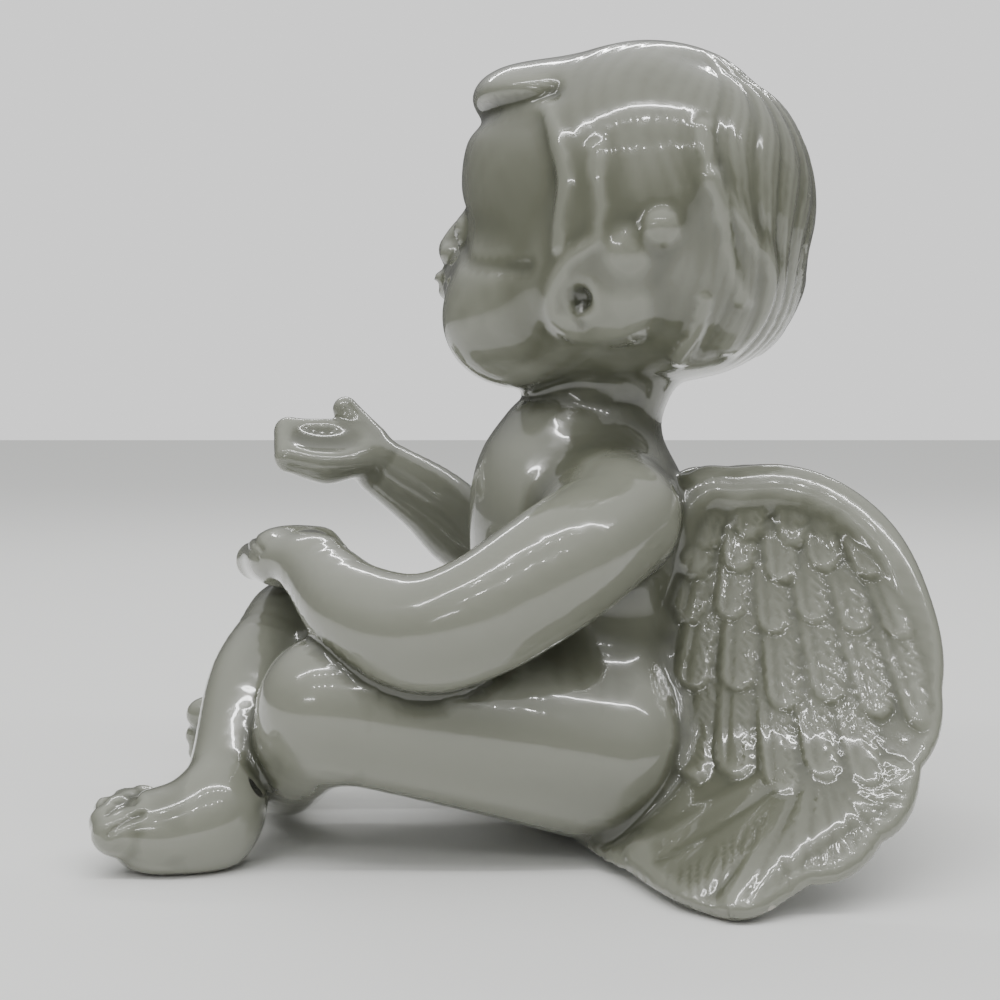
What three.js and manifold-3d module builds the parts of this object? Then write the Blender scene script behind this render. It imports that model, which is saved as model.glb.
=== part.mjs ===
// A seated porcelain cherub, cast in one piece and glazed white.
// Millimetres, +Z up. The child faces -Y, and its left side is +X.
// Its flesh is a smooth field of rounded forms that flow into each other, negative inside.
// The field is turned into one closed skin, thinned where it is smooth, and cut flat underneath.
import * as THREE from 'three';
import Module from 'manifold-3d';

// The layout below is measured from a point between the hips, and the floor passes just under
// the soles. At the end the middle of the whole figure is brought over the origin.
const layout = { floor: -1.8 };

// How finely the skin is made
const skin = {
  cell: 2.2,
  reach: 4,
  low: [-66, -80, -11],
  high: [66, 84, 154],
  mostTriangles: 9800,
  longestEdge: 9,
  evenShare: 0.35,
  floorMargin: 1.5,
  floorSnap: 0.4,
  slacks: [0.05, 0.09, 0.14, 0.2, 0.28, 0.38, 0.5, 0.65],
};

// Trunk: each ball is a centre, its radii and how softly it joins what is before it
const trunkBalls = [
  { at: [0, 17, 23], radii: [26, 22, 26.5], soft: 1 },
  { at: [0, 18, 48], radii: [23.5, 18.5, 26], soft: 12 },
  { at: [0, 8, 31], radii: [19, 15, 16], soft: 10 },
  { at: [0, 19.5, 60], radii: [27.5, 15, 13], soft: 10 },
  { at: [-2, 7, 58], radii: [20, 13, 19], soft: 8 },
];
const neckLine = [[0, 14, 68, 13.5], [0, 17, 78, 12.6], [0, 21, 86, 12.6]];

// Limbs: points along the middle of each, with the radius there
const leftArm = [
  [23.5, 21.5, 59.5, 10.8], [34, 11, 53, 11.2], [38.5, -3, 44.5, 10.6],
  [36, -14, 41, 10.3], [29, -25, 43.5, 8.8], [18, -33, 49, 6.8],
];
const rightArm = [
  [-24, 15, 59.5, 11], [-34, 4, 53, 10], [-34.5, -6, 51.5, 9],
  [-31.5, -15, 59, 7.6], [-29.5, -25, 66, 6],
];
const leftThigh = [[20, 19, 17, 17], [25, -3, 22, 15], [27.5, -30, 26.5, 12.8]];
const leftShin = [[27.5, -30, 26, 12.2], [20, -37, 17, 9.5], [5, -41.5, 9, 8.2], [-12, -46, 7.2, 6.8]];
const rightThigh = [[-18, 19, 18, 17], [-14, -6, 27, 14.5], [-5, -39, 34.5, 11]];
const rightShin = [[-5, -40.5, 34, 10.6], [8, -46.4, 27, 9], [20.5, -48.4, 15, 8], [26.5, -50, 9, 7.8]];

// Hands: a palm, four fingers spread along a line across it, and a thumb
const leftHand = {
  palm: { at: [9, -38.5, 51], radii: [11, 8, 5.4], turn: [0, -8, 28] },
  knuckles: [5, -38.5, 51.8],
  tips: [-3.5, -43.8, 49.6],
  spread: [-1.9, 2.5, 0.1],
  radii: [4.3, 3.8],
  thumb: [[5, -31.5, 50, 3.4], [-3, -33.5, 49, 3], [-7, -35, 47.5, 2.6]],
};
const rightHand = {
  palm: { at: [-27, -33.5, 69.6], radii: [7.4, 9, 4.2], turn: [0, 40, 0] },
  hollow: { at: [-23.6, -35.5, 73.8], radii: [4.8, 8, 3.2], turn: [0, 40, 0] },
  knuckles: [-27, -37, 69.6],
  tips: [-26.2, -44.2, 71],
  spread: [2.1, 0.3, -1.75],
  radii: [3.4, 3.1],
  thumb: [[-31, -27.5, 72, 3.4], [-32.3, -30.8, 75.6, 3], [-32.6, -33, 78.4, 2.6]],
};

// Feet: heel, instep and ball of the foot, then five toes from the big one
const rightFoot = {
  balls: [
    { at: [29.5, -50.5, 6.8], radii: [8, 8, 9.4] },
    { at: [31.5, -58.8, 4.8], radii: [8.2, 10.6, 8] },
  ],
  toes: [
    [35.6, -66.2, 5.6, 4], [33, -68, 7, 3.4], [29.9, -68.2, 8.2, 3.2],
    [26.8, -66.9, 8.8, 3], [24, -64.8, 8.6, 2.7],
  ],
};
const leftFoot = {
  balls: [
    { at: [-16, -48, 5.4], radii: [7.4, 7.6, 7.4] },
    { at: [-23.5, -55.5, 6], radii: [6.4, 10.5, 7.8], turn: [0, 0, -38] },
  ],
  toes: [
    [-29.2, -62.4, 13.2, 3.8], [-30.4, -64, 8.4, 2.9], [-30, -63.6, 4.9, 2.7],
    [-28.6, -62.4, 2.1, 2.5], [-26.8, -60.6, 0.4, 2.3],
  ],
};

// Head: its own frame runs left, front and up from the centre, turned to the child's right
const head = { at: [0, 27.3, 114.5], turn: 22 };

// How softly the main forms flow together: the arms are soft at the shoulder and crisp below it
const joins = {
  neck: 9, thigh: 7, shins: 1.5, foot: 3, leg: 3, leftHand: 4, rightHand: 3,
  shoulder: 6, arm: 1.8, armHeights: [52, 64], head: 2.5, wing: 3,
  fingers: 4, hollow: 2, thumb: 2, instep: 5, toe: 1.2, nose: 2.6, face: 2.5, cap: 1.5,
};

// The face and skull; what lies to one side is mirrored on the other
const skull = { radii: [30.5, 31, 29.5], at: [0, -0.5, 2.5] };
const jaw = { at: [0, 9, -13], radii: [25.5, 24.5, 19.5], soft: 12 };
const brow = { at: [0, 15, 10], radii: [24, 19.5, 19], soft: 8 };
const cheeks = { at: [14.5, 21.5, -18.5], radii: [12.8, 12.7, 12.5], soft: 8 };
const muzzle = { at: [0, 25.5, -11], radii: [12.5, 14.8, 11.5], soft: 8 };
const chin = { at: [0, 30, -23.5], radii: [8, 7, 6], soft: 6 };
const sockets = { at: [10.8, 38.6, -0.8], radii: [6.6, 6, 4.6], soft: 5 };
const eyes = { at: [10.8, 30.4, -1.6], radii: [5.6, 4, 4.2], soft: 3 };
const nose = [[0, 32.5, 2.5, 3], [0, 36.6, -1, 3.4], [0, 38.8, -4, 3.6]];
const nostrils = { at: [3, 38.2, -4.9], radii: [2.5, 2.6, 2.1], soft: 2.2 };
const upperLip = { at: [1.9, 40.2, -9.6], radii: [3.4, 2.6, 1.9], turn: [0, 14, 0], soft: 2.4 };
const lowerLip = { at: [0, 39.8, -12.4], radii: [4, 2.6, 2.1], soft: 2.4 };
const ears = { at: [26.8, 1.4, -14.4], radii: [2.9, 6, 7], soft: 8 };
const earHoles = { at: [32, 1.8, -15.9], radii: [3.6, 1.9, 2.2], soft: 1.8 };
const curls = [
  { at: [28.4, -5.6, -8], radii: [4.2, 4.8, 5.2], soft: 2.2 },
  { at: [28.2, -11.8, -3.8], radii: [3.2, 3.2, 3.2], soft: 2.2 },
  { at: [26.2, -4.2, -16.8], radii: [3, 4.2, 4.4], soft: 5 },
];

// Hair: a cap over the skull, open before the face, with a thick fringe
const hair = {
  cap: { at: [0, -0.4, 2.4], radii: [32.4, 31.9, 31.2] },
  nape: { at: [0, -9.5, -12.5], radii: [25.5, 19, 16.5], soft: 6 },
  faceFront: 6,
  faceTop: 19,
  fringe: { at: [0, 13.6, 20.8], radii: [25, 19.2, 9.6], turn: [10, 0, 0], soft: 3 },
  crown: -7,
  locks: 19,
  lockHeight: 1.25,
  softShare: 0.5,
  fringeShare: 0.6,
};
// Raised edges of locks beside the face and behind the ear: points front and up, then height and width
const lockEdges = [
  { line: [[10, 18], [6.9, 10.2], [5.3, 4.8], [5.7, -1.2], [5.6, -6.4]], height: 0.8, width: 2.7 },
  {
    line: [[-1.2, 9.7], [-2.2, 1], [-1.6, -5.8], [3.5, -9.3], [6.9, -14], [7.4, -18.3], [4.6, -21]],
    height: 0.8, width: 2.6,
  },
  { line: [[-18.1, 13.4], [-20.1, 2.5], [-21.9, -4.1], [-22.8, -10.8], [-23.4, -15.7]], height: 0.9, width: 2.5 },
  {
    line: [[-20.3, 4.6], [-24.8, -4], [-27.2, -8.9], [-27.6, -13.8], [-24.9, -19.9], [-20.3, -24.5]],
    height: 0.9, width: 2.6,
  },
  { line: [[-18.3, -15.9], [-16.3, -21], [-11.5, -26.3]], height: 0.8, width: 2.3 },
];

// Wings: a bowed sheet whose outline, seen from the side, runs round a heart point
const wing = {
  heart: [47, 36],
  half: 2,
  rim: 1.9,
  rimInset: 4.5,
  rimWidth: 4,
  rounding: 1.8,
  farDrop: 1.4,
  scallop: 1.1,
  scallopStep: 25,
  plainRim: [-2.4, -0.6],
  radii: {
    0: 30.6, 20: 31.4, 41: 33, 61: 33.6, 78: 33.4, 95: 32.6, 111: 33.2, 140: 25, 165: 24, 195: 28,
    214: 40, 223: 46, 230: 47, 236: 43.4, 247: 40.8, 256: 38.6, 264: 35, 272: 33.1, 288: 31.8,
    303: 31, 311: 30.3, 325: 29.2, 340: 29.3,
  },
};
// Feathers: rows from the shoulder down, each laid over the next one
const feathers = {
  lift: 1.5,
  backShare: 0.4,
  edge: 2,
  leanFrom: [50, 98],
  rows: [
    { from: 37, to: 62, count: 4, tips: [52.5, 55.5], length: 11, half: 3.7 },
    { from: 35, to: 67, count: 5, tips: [47.5, 48.5], length: 12, half: 3.8 },
    { from: 34, to: 71, count: 6, tips: [39.4, 39], length: 13, half: 3.8 },
    { from: 34, to: 73, count: 6, tips: [28, 25.5], length: 19, half: 3.9 },
    { from: 33, to: 62, count: 5, tips: [14.2, 16], length: 19, half: 3.9 },
  ],
  fan: { pivot: [55, 20], from: 212, to: 345, count: 8, inner: 2, half: 4.6 },
};

const rad = THREE.MathUtils.degToRad;
const clamp = THREE.MathUtils.clamp;
const smooth = (low, high, v) => THREE.MathUtils.smoothstep(v, low, high);

// Two forms flow together over the distance soft
function blend(a, b, soft) {
  const near = Math.max(soft - Math.abs(a - b), 0) / soft;
  return Math.min(a, b) - near * near * soft / 4;
}

// The form b is pressed into a, with a soft edge
function carve(a, b, soft) {
  const near = Math.max(soft - Math.abs(a + b), 0) / soft;
  return Math.max(a, -b) + near * near * soft / 4;
}

const clearance = 9;

// Leaves a form out of the sum where it is too far off to be felt
function near(form, at, radius) {
  return (x, y, z) => {
    const dx = x - at[0];
    const dy = y - at[1];
    const dz = z - at[2];
    const off = Math.sqrt(dx * dx + dy * dy + dz * dz) - radius;
    return off > clearance ? off : form(x, y, z);
  };
}

// Distance to a ball stretched along three turned axes
function makeBall({ at, radii, turn = [0, 0, 0] }) {
  const angles = turn.map(rad);
  const spin = new THREE.Matrix4().makeRotationFromEuler(new THREE.Euler(...angles, 'ZYX'));
  const axes = [new THREE.Vector3(), new THREE.Vector3(), new THREE.Vector3()];
  spin.extractBasis(...axes);
  const [a, b, c] = axes;
  const [ra, rb, rc] = radii;
  return (x, y, z) => {
    const dx = x - at[0];
    const dy = y - at[1];
    const dz = z - at[2];
    const u = (dx * a.x + dy * a.y + dz * a.z) / ra;
    const v = (dx * b.x + dy * b.y + dz * b.z) / rb;
    const w = (dx * c.x + dy * c.y + dz * c.z) / rc;
    const size = Math.sqrt(u * u + v * v + w * w);
    const slope = Math.sqrt((u / ra) ** 2 + (v / rb) ** 2 + (w / rc) ** 2);
    return size * (size - 1) / (slope + 1e-6);
  };
}

// A smooth line through points whose last number is a radius
function smoothLine(points, steps) {
  const width = points[0].length;
  const first = points[0].map((v, i) => 2 * v - points[1][i]);
  const last = points.at(-1).map((v, i) => 2 * v - points.at(-2)[i]);
  const all = [first, ...points, last];
  const out = [];
  for (let i = 1; i < all.length - 2; i += 1) {
    for (let s = 0; s < steps; s += 1) {
      const t = s / steps;
      out.push(Array.from({ length: width }, (_, k) => {
        const [p0, p1, p2, p3] = [all[i - 1][k], all[i][k], all[i + 1][k], all[i + 2][k]];
        const square = 2 * p0 - 5 * p1 + 4 * p2 - p3;
        const cube = 3 * p1 - p0 - 3 * p2 + p3;
        return 0.5 * (2 * p1 + (p2 - p0) * t + square * t * t + cube * t ** 3);
      }));
    }
  }
  out.push([...points.at(-1)]);
  return out;
}

// Distance to a limb of changing thickness along a smooth line
function makeLimb(points, steps = 3) {
  const line = smoothLine(points, steps);
  const parts = line.slice(1).map((b, i) => {
    const a = line[i];
    const along = [b[0] - a[0], b[1] - a[1], b[2] - a[2]];
    return { a, along, grow: b[3] - a[3], square: along.reduce((sum, v) => sum + v * v, 0) };
  });
  const form = (x, y, z) => {
    let best = Infinity;
    for (const { a, along, grow, square } of parts) {
      const dx = x - a[0];
      const dy = y - a[1];
      const dz = z - a[2];
      const h = Math.min(Math.max((dx * along[0] + dy * along[1] + dz * along[2]) / square, 0), 1);
      const ex = dx - h * along[0];
      const ey = dy - h * along[1];
      const ez = dz - h * along[2];
      best = Math.min(best, Math.sqrt(ex * ex + ey * ey + ez * ez) - a[3] - grow * h);
    }
    return best;
  };
  const middle = [0, 1, 2].map((k) => (line[0][k] + line.at(-1)[k]) / 2);
  const reach = Math.max(...line.map((p) => Math.hypot(p[0] - middle[0], p[1] - middle[1], p[2] - middle[2]) + p[3]));
  return near(form, middle, reach);
}

// How strongly a soft ridge along a flat line is felt, from 0 to 1
function makeRidge(points, width) {
  const line = smoothLine(points, 4);
  return (u, v) => {
    let best = Infinity;
    for (let i = 1; i < line.length; i += 1) {
      const du = line[i][0] - line[i - 1][0];
      const dv = line[i][1] - line[i - 1][1];
      const pu = u - line[i - 1][0];
      const pv = v - line[i - 1][1];
      const h = clamp((pu * du + pv * dv) / (du * du + dv * dv), 0, 1);
      best = Math.min(best, (pu - h * du) ** 2 + (pv - h * dv) ** 2);
    }
    return Math.exp(-best / (width * width));
  };
}

// Everything that is mirrored over the middle of the head is given left as a distance
const headForms = {
  skull: makeBall(skull),
  jaw: makeBall(jaw),
  brow: makeBall(brow),
  cheeks: makeBall(cheeks),
  muzzle: makeBall(muzzle),
  chin: makeBall(chin),
  sockets: makeBall(sockets),
  eyes: makeBall(eyes),
  nose: makeLimb(nose, 2),
  nostrils: makeBall(nostrils),
  upperLip: makeBall(upperLip),
  lowerLip: makeBall(lowerLip),
  ears: makeBall(ears),
  earHoles: makeBall(earHoles),
  curls: curls.map((curl) => ({ form: makeBall(curl), soft: curl.soft })),
  cap: makeBall(hair.cap),
  nape: makeBall(hair.nape),
  fringe: makeBall(hair.fringe),
  edges: lockEdges.map(({ line, height, width }) => ({ ridge: makeRidge(line, width), height })),
};

// Height of the combed locks, which run from the crown to the fringe, the sides and the nape.
// They are deep behind and softer beside the face.
function lockHeight(left, front, up) {
  const behind = front - hair.crown;
  const reach = Math.hypot(left, behind);
  const around = Math.atan2(left, behind);
  const sway = 0.22 * Math.sin(2 * around + 0.9) + 0.1 * Math.sin(up * 0.16 + 3 * around);
  const turn = (around + sway) * hair.locks / 2;
  const sharp = 1 - smooth(-24, -12, front);
  const combed = sharp * (Math.abs(Math.sin(turn)) - 0.55) + (1 - sharp) * hair.softShare * Math.sin(2 * turn) / 2;
  const fade = smooth(3, 13, reach) * smooth(-30, -20, up);
  return hair.lockHeight * combed * fade;
}

const headWhole = (x, y, z) => {
  const c = Math.cos(rad(head.turn));
  const s = Math.sin(rad(head.turn));
  const dx = x - head.at[0];
  const dy = y - head.at[1];
  const left = dx * c - dy * s;
  const front = -dx * s - dy * c;
  const up = z - head.at[2];
  const side = Math.abs(left);
  const forms = headForms;
  let face = forms.skull(left, front, up);
  face = blend(face, forms.jaw(left, front, up), jaw.soft);
  face = blend(face, forms.brow(left, front, up), brow.soft);
  face = blend(face, forms.cheeks(side, front, up), cheeks.soft);
  face = blend(face, forms.muzzle(left, front, up), muzzle.soft);
  face = blend(face, forms.chin(left, front, up), chin.soft);
  face = carve(face, forms.sockets(side, front, up), sockets.soft);
  face = blend(face, forms.eyes(side, front, up), eyes.soft);
  face = blend(face, forms.nose(left, front, up), joins.nose);
  face = blend(face, forms.nostrils(side, front, up), nostrils.soft);
  face = blend(face, forms.upperLip(side, front, up), upperLip.soft);
  face = blend(face, forms.lowerLip(left, front, up), lowerLip.soft);

  const locks = lockHeight(left, front, up);
  let cap = forms.cap(left, front, up) - locks;
  cap = blend(cap, forms.nape(left, front, up) - locks, hair.nape.soft);
  const opening = Math.max(hair.faceFront - front, up - hair.faceTop);
  cap = carve(cap, opening, joins.face);
  let whole = blend(face, cap, joins.cap);
  whole = blend(whole, forms.fringe(left, front, up) - locks * hair.fringeShare, hair.fringe.soft);
  whole = blend(whole, forms.ears(side, front, up), ears.soft);
  for (const { form, soft } of forms.curls) whole = blend(whole, form(side, front, up), soft);
  if (side > 8) {
    for (const { ridge, height } of forms.edges) whole -= height * ridge(front, up);
  }
  return carve(whole, forms.earHoles(side, front, up), earHoles.soft);
};
const headAt = near(headWhole, head.at, 44);

// The outline radius of the wing at each degree, with scalloped feather ends below
const wingOutline = (() => {
  const keys = Object.keys(wing.radii).map(Number).sort((a, b) => a - b);
  const angles = [keys.at(-1) - 360, ...keys, keys[0] + 360, keys[1] + 360];
  const sizes = [wing.radii[keys.at(-1)], ...keys.map((k) => wing.radii[k]), wing.radii[keys[0]], wing.radii[keys[1]]];
  const line = smoothLine(angles.map((angle, i) => [angle, sizes[i]]), 12);
  return Array.from({ length: 360 }, (_, degree) => {
    const at = line.findIndex((point) => point[0] > degree);
    const [a, b] = [line[at - 1], line[at]];
    const t = (degree - a[0]) / (b[0] - a[0]);
    const wave = degree > 250 && degree < 350 ? Math.abs(Math.sin((degree - 250) * Math.PI / wing.scallopStep)) : 0;
    return a[1] + (b[1] - a[1]) * t + wing.scallop * wave;
  });
})();

function outlineAt(angle) {
  const turned = ((angle % 360) + 360) % 360;
  const low = Math.floor(turned) % 360;
  const t = turned - Math.floor(turned);
  return wingOutline[low] * (1 - t) + wingOutline[(low + 1) % 360] * t;
}

// How far out from the middle of the body the sheet of the wing stands
function sheetAt(y, z) {
  const climb = clamp(z, 0, 72) / 70;
  const rootX = 24 - 15 * climb;
  const rootY = 16 + 17 * climb ** 0.7;
  const rimX = 15 + 44 * clamp(1 - climb, 0, 1) ** 1.35;
  const span = 24 + 28 * smooth(0, 24, z);
  const t = clamp((y - rootY) / span, -0.35, 1.2);
  const bow = t > 0 ? Math.sin(Math.min(t, 1) * Math.PI / 2) : t * Math.PI / 2;
  return rootX + (rimX - rootX) * bow;
}

// Every feather: its tip, its way back to the root, its length and half width
const featherList = (() => {
  const list = [];
  for (const row of feathers.rows) {
    for (let i = 0; i < row.count; i += 1) {
      const t = row.count > 1 ? i / (row.count - 1) : 0.5;
      const y = row.from + (row.to - row.from) * t;
      const z = row.tips[0] + (row.tips[1] - row.tips[0]) * t + 1.2 * Math.sin(i * 2.4);
      const wayY = (feathers.leanFrom[0] - y) * 0.9;
      const wayZ = feathers.leanFrom[1] - z;
      const long = Math.hypot(wayY, wayZ);
      list.push({ y, z, wayY: wayY / long, wayZ: wayZ / long, length: row.length, half: row.half });
    }
  }
  const { pivot, from, to, count, inner, half } = feathers.fan;
  for (let i = 0; i < count; i += 1) {
    const angle = from + (to - from) * i / (count - 1);
    const dirY = Math.cos(rad(angle));
    const dirZ = Math.sin(rad(angle));
    let reach = inner;
    while (reach < 60) {
      const y = pivot[0] + dirY * reach - wing.heart[0];
      const z = pivot[1] + dirZ * reach - wing.heart[1];
      if (Math.hypot(y, z) > outlineAt(THREE.MathUtils.radToDeg(Math.atan2(z, y))) + 1) break;
      reach += 0.5;
    }
    list.push({
      y: pivot[0] + dirY * reach, z: pivot[1] + dirZ * reach, wayY: -dirY, wayZ: -dirZ,
      length: reach - inner, half,
    });
  }
  return list;
})();

// Height of the feathers over the sheet, each rising from its root to its tip
function featherHeight(y, z) {
  let best = 0;
  for (const f of featherList) {
    const dy = y - f.y;
    const dz = z - f.z;
    const along = dy * f.wayY + dz * f.wayZ;
    if (along < -1 || along > f.length) continue;
    const across = Math.abs(dz * f.wayY - dy * f.wayZ);
    if (across > f.half) continue;
    const inside = f.half - Math.hypot(across, Math.min(along - f.half, 0));
    const rise = 0.25 + 0.75 * (1 - clamp(along / f.length, 0, 1));
    best = Math.max(best, feathers.lift * rise * smooth(0, feathers.edge, inside));
  }
  return best;
}

function wingAt(x, y, z, side) {
  const out = x * side;
  const up = side < 0 ? z + wing.farDrop : z;
  if (y < 8 || y > 88 || up > 78 || out < -8) return 8;
  const dy = y - wing.heart[0];
  const dz = up - wing.heart[1];
  const angle = THREE.MathUtils.radToDeg(Math.atan2(dz, dy));
  const r = outlineAt(angle);
  const slope = (outlineAt(angle + 2) - outlineAt(angle - 2)) / rad(4) / r;
  const beyond = (Math.hypot(dy, dz) - r) / Math.hypot(1, slope);
  const e = 0.5;
  const slopeY = (sheetAt(y + e, up) - sheetAt(y - e, up)) / (2 * e);
  const slopeZ = (sheetAt(y, up + e) - sheetAt(y, up - e)) / (2 * e);
  const across = (out - sheetAt(y, up)) / Math.hypot(1, slopeY, slopeZ);
  const lead = smooth(-30, 50, angle) * (1 - smooth(118, 140, angle));
  const roll = lead * Math.exp(-(((beyond + wing.rimInset) / wing.rimWidth) ** 2));
  let relief = 0;
  if (Math.abs(across) < 9) {
    const inField = (1 - smooth(-4, -1.5, beyond + lead * (wing.rimInset + 1))) * smooth(29, 34, y + 0.12 * up);
    const calm = (1 - (1 - inField) * smooth(14, 22, up)) * (1 - smooth(...wing.plainRim, beyond));
    relief = featherHeight(y, up) * calm * (across > 0 ? 1 : feathers.backShare);
  }
  const thick = Math.abs(across) - wing.half - wing.rim * roll - relief + wing.rounding;
  const wide = beyond + wing.rounding;
  const corner = Math.hypot(Math.max(wide, 0), Math.max(thick, 0));
  return corner - wing.rounding + Math.min(Math.max(wide, thick), 0);
}

// A hand is its palm, four fingers side by side and a thumb
function makeHand(hand) {
  const palm = makeBall(hand.palm);
  const thumb = makeLimb(hand.thumb, 2);
  const fingers = [-1.5, -0.5, 0.5, 1.5].map((place) => {
    const shift = hand.spread.map((v) => v * place);
    const ends = [hand.knuckles, hand.tips].map((end, i) => [...end.map((v, k) => v + shift[k]), hand.radii[i]]);
    return makeLimb(ends, 1);
  });
  const hollow = hand.hollow && makeBall(hand.hollow);
  const whole = (x, y, z) => {
    let form = palm(x, y, z);
    let row = Infinity;
    for (const finger of fingers) row = Math.min(row, finger(x, y, z));
    form = blend(form, row, joins.fingers);
    if (hollow) form = carve(form, hollow(x, y, z), joins.hollow);
    return blend(form, thumb(x, y, z), joins.thumb);
  };
  return near(whole, hand.palm.at, 24);
}

function makeFoot(foot) {
  const balls = foot.balls.map(makeBall);
  const toes = foot.toes.map(([x, y, z, r]) => makeBall({ at: [x, y, z], radii: [r, r * 1.25, r] }));
  const whole = (x, y, z) => {
    let form = blend(balls[0](x, y, z), balls[1](x, y, z), joins.instep);
    for (const toe of toes) form = blend(form, toe(x, y, z), joins.toe);
    return form;
  };
  return near(whole, foot.balls[1].at, 26);
}

const trunk = trunkBalls.map((ball) => ({ form: makeBall(ball), soft: ball.soft }));
const body = {
  neck: makeLimb(neckLine, 2),
  leftArm: makeLimb(leftArm),
  rightArm: makeLimb(rightArm),
  leftThigh: makeLimb(leftThigh),
  rightThigh: makeLimb(rightThigh),
  leftShin: makeLimb(leftShin),
  rightShin: makeLimb(rightShin),
  leftHand: makeHand(leftHand),
  rightHand: makeHand(rightHand),
  leftFoot: makeFoot(leftFoot),
  rightFoot: makeFoot(rightFoot),
};

// The whole figure's field, in the layout's own millimetres
function figureAt(x, y, z) {
  let flesh = trunk[0].form(x, y, z);
  for (const { form, soft } of trunk.slice(1)) flesh = blend(flesh, form(x, y, z), soft);
  flesh = blend(flesh, body.neck(x, y, z), joins.neck);
  flesh = blend(flesh, body.leftThigh(x, y, z), joins.thigh);
  flesh = blend(flesh, body.rightThigh(x, y, z), joins.thigh);
  let shins = blend(body.leftShin(x, y, z), body.rightShin(x, y, z), joins.shins);
  shins = blend(shins, body.leftFoot(x, y, z), joins.foot);
  shins = blend(shins, body.rightFoot(x, y, z), joins.foot);
  flesh = blend(flesh, shins, joins.leg);
  let arms = Math.min(body.leftArm(x, y, z), body.rightArm(x, y, z));
  arms = blend(arms, body.leftHand(x, y, z), joins.leftHand);
  arms = blend(arms, body.rightHand(x, y, z), joins.rightHand);
  const armSoft = joins.arm + (joins.shoulder - joins.arm) * smooth(...joins.armHeights, z);
  flesh = blend(flesh, arms, armSoft);
  flesh = blend(flesh, headAt(x, y, z), joins.head);
  return blend(flesh, Math.min(wingAt(x, y, z, 1), wingAt(x, y, z, -1)), joins.wing);
}

function slopeAt(point, e = 0.2) {
  const [x, y, z] = point;
  return [
    (figureAt(x + e, y, z) - figureAt(x - e, y, z)) / (2 * e),
    (figureAt(x, y + e, z) - figureAt(x, y - e, z)) / (2 * e),
    (figureAt(x, y, z + e) - figureAt(x, y, z - e)) / (2 * e),
  ];
}

// Moves a point along the field's slope until it lies on the surface
function settle(point, rounds) {
  let [x, y, z] = point;
  for (let i = 0; i < rounds; i += 1) {
    const far = figureAt(x, y, z);
    const slope = slopeAt([x, y, z]);
    const share = clamp(far / Math.max(slope.reduce((sum, v) => sum + v * v, 0), 0.25), -1.5, 1.5);
    x -= share * slope[0];
    y -= share * slope[1];
    z -= share * slope[2];
  }
  return [x, y, z];
}

// The corners of one cell, and its edges as pairs of them
const corners = Array.from({ length: 8 }, (_, c) => [c & 1, (c >> 1) & 1, (c >> 2) & 1]);
const edges = [];
for (let a = 0; a < 8; a += 1) {
  for (const bit of [1, 2, 4]) if (!(a & bit)) edges.push([a, a | bit]);
}

const cellSides = [[0, 2, 6, 4], [1, 3, 7, 5], [0, 1, 5, 4], [2, 3, 7, 6], [0, 1, 3, 2], [4, 5, 7, 6]];

// A cell is tangled where two sheets pinch in it or on one of its sides
function isTangled(inside) {
  if (cellSides.some(([a, b, c, d]) => inside[a] === inside[c] && inside[b] === inside[d] && inside[a] !== inside[b])) {
    return true;
  }
  const group = corners.map((_, c) => c);
  for (let round = 0; round < 4; round += 1) {
    for (const [a, b] of edges) {
      if (inside[a] !== inside[b]) continue;
      const low = Math.min(group[a], group[b]);
      group[a] = low;
      group[b] = low;
    }
  }
  return new Set(group).size > 2;
}

// Where two sheets pinch in one cell, a corner between them is filled, so the skin has no knots
function untie(values, count, at) {
  for (let pass = 0; pass < 20; pass += 1) {
    let changed = false;
    for (let i = 0; i < count[0] - 1; i += 1) {
      for (let j = 0; j < count[1] - 1; j += 1) {
        for (let k = 0; k < count[2] - 1; k += 1) {
          if (Math.abs(values[at(i, j, k)]) > skin.reach * skin.cell) continue;
          const places = corners.map(([a, b, c]) => at(i + a, j + b, k + c));
          const inside = places.map((place) => values[place] < 0);
          if (inside.every((v) => v === inside[0]) || !isTangled(inside)) continue;
          const outer = places.filter((place) => values[place] >= 0);
          values[outer.reduce((best, v) => (values[v] < values[best] ? v : best))] = -0.3;
          changed = true;
        }
      }
    }
    if (!changed) break;
  }
}

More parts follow.
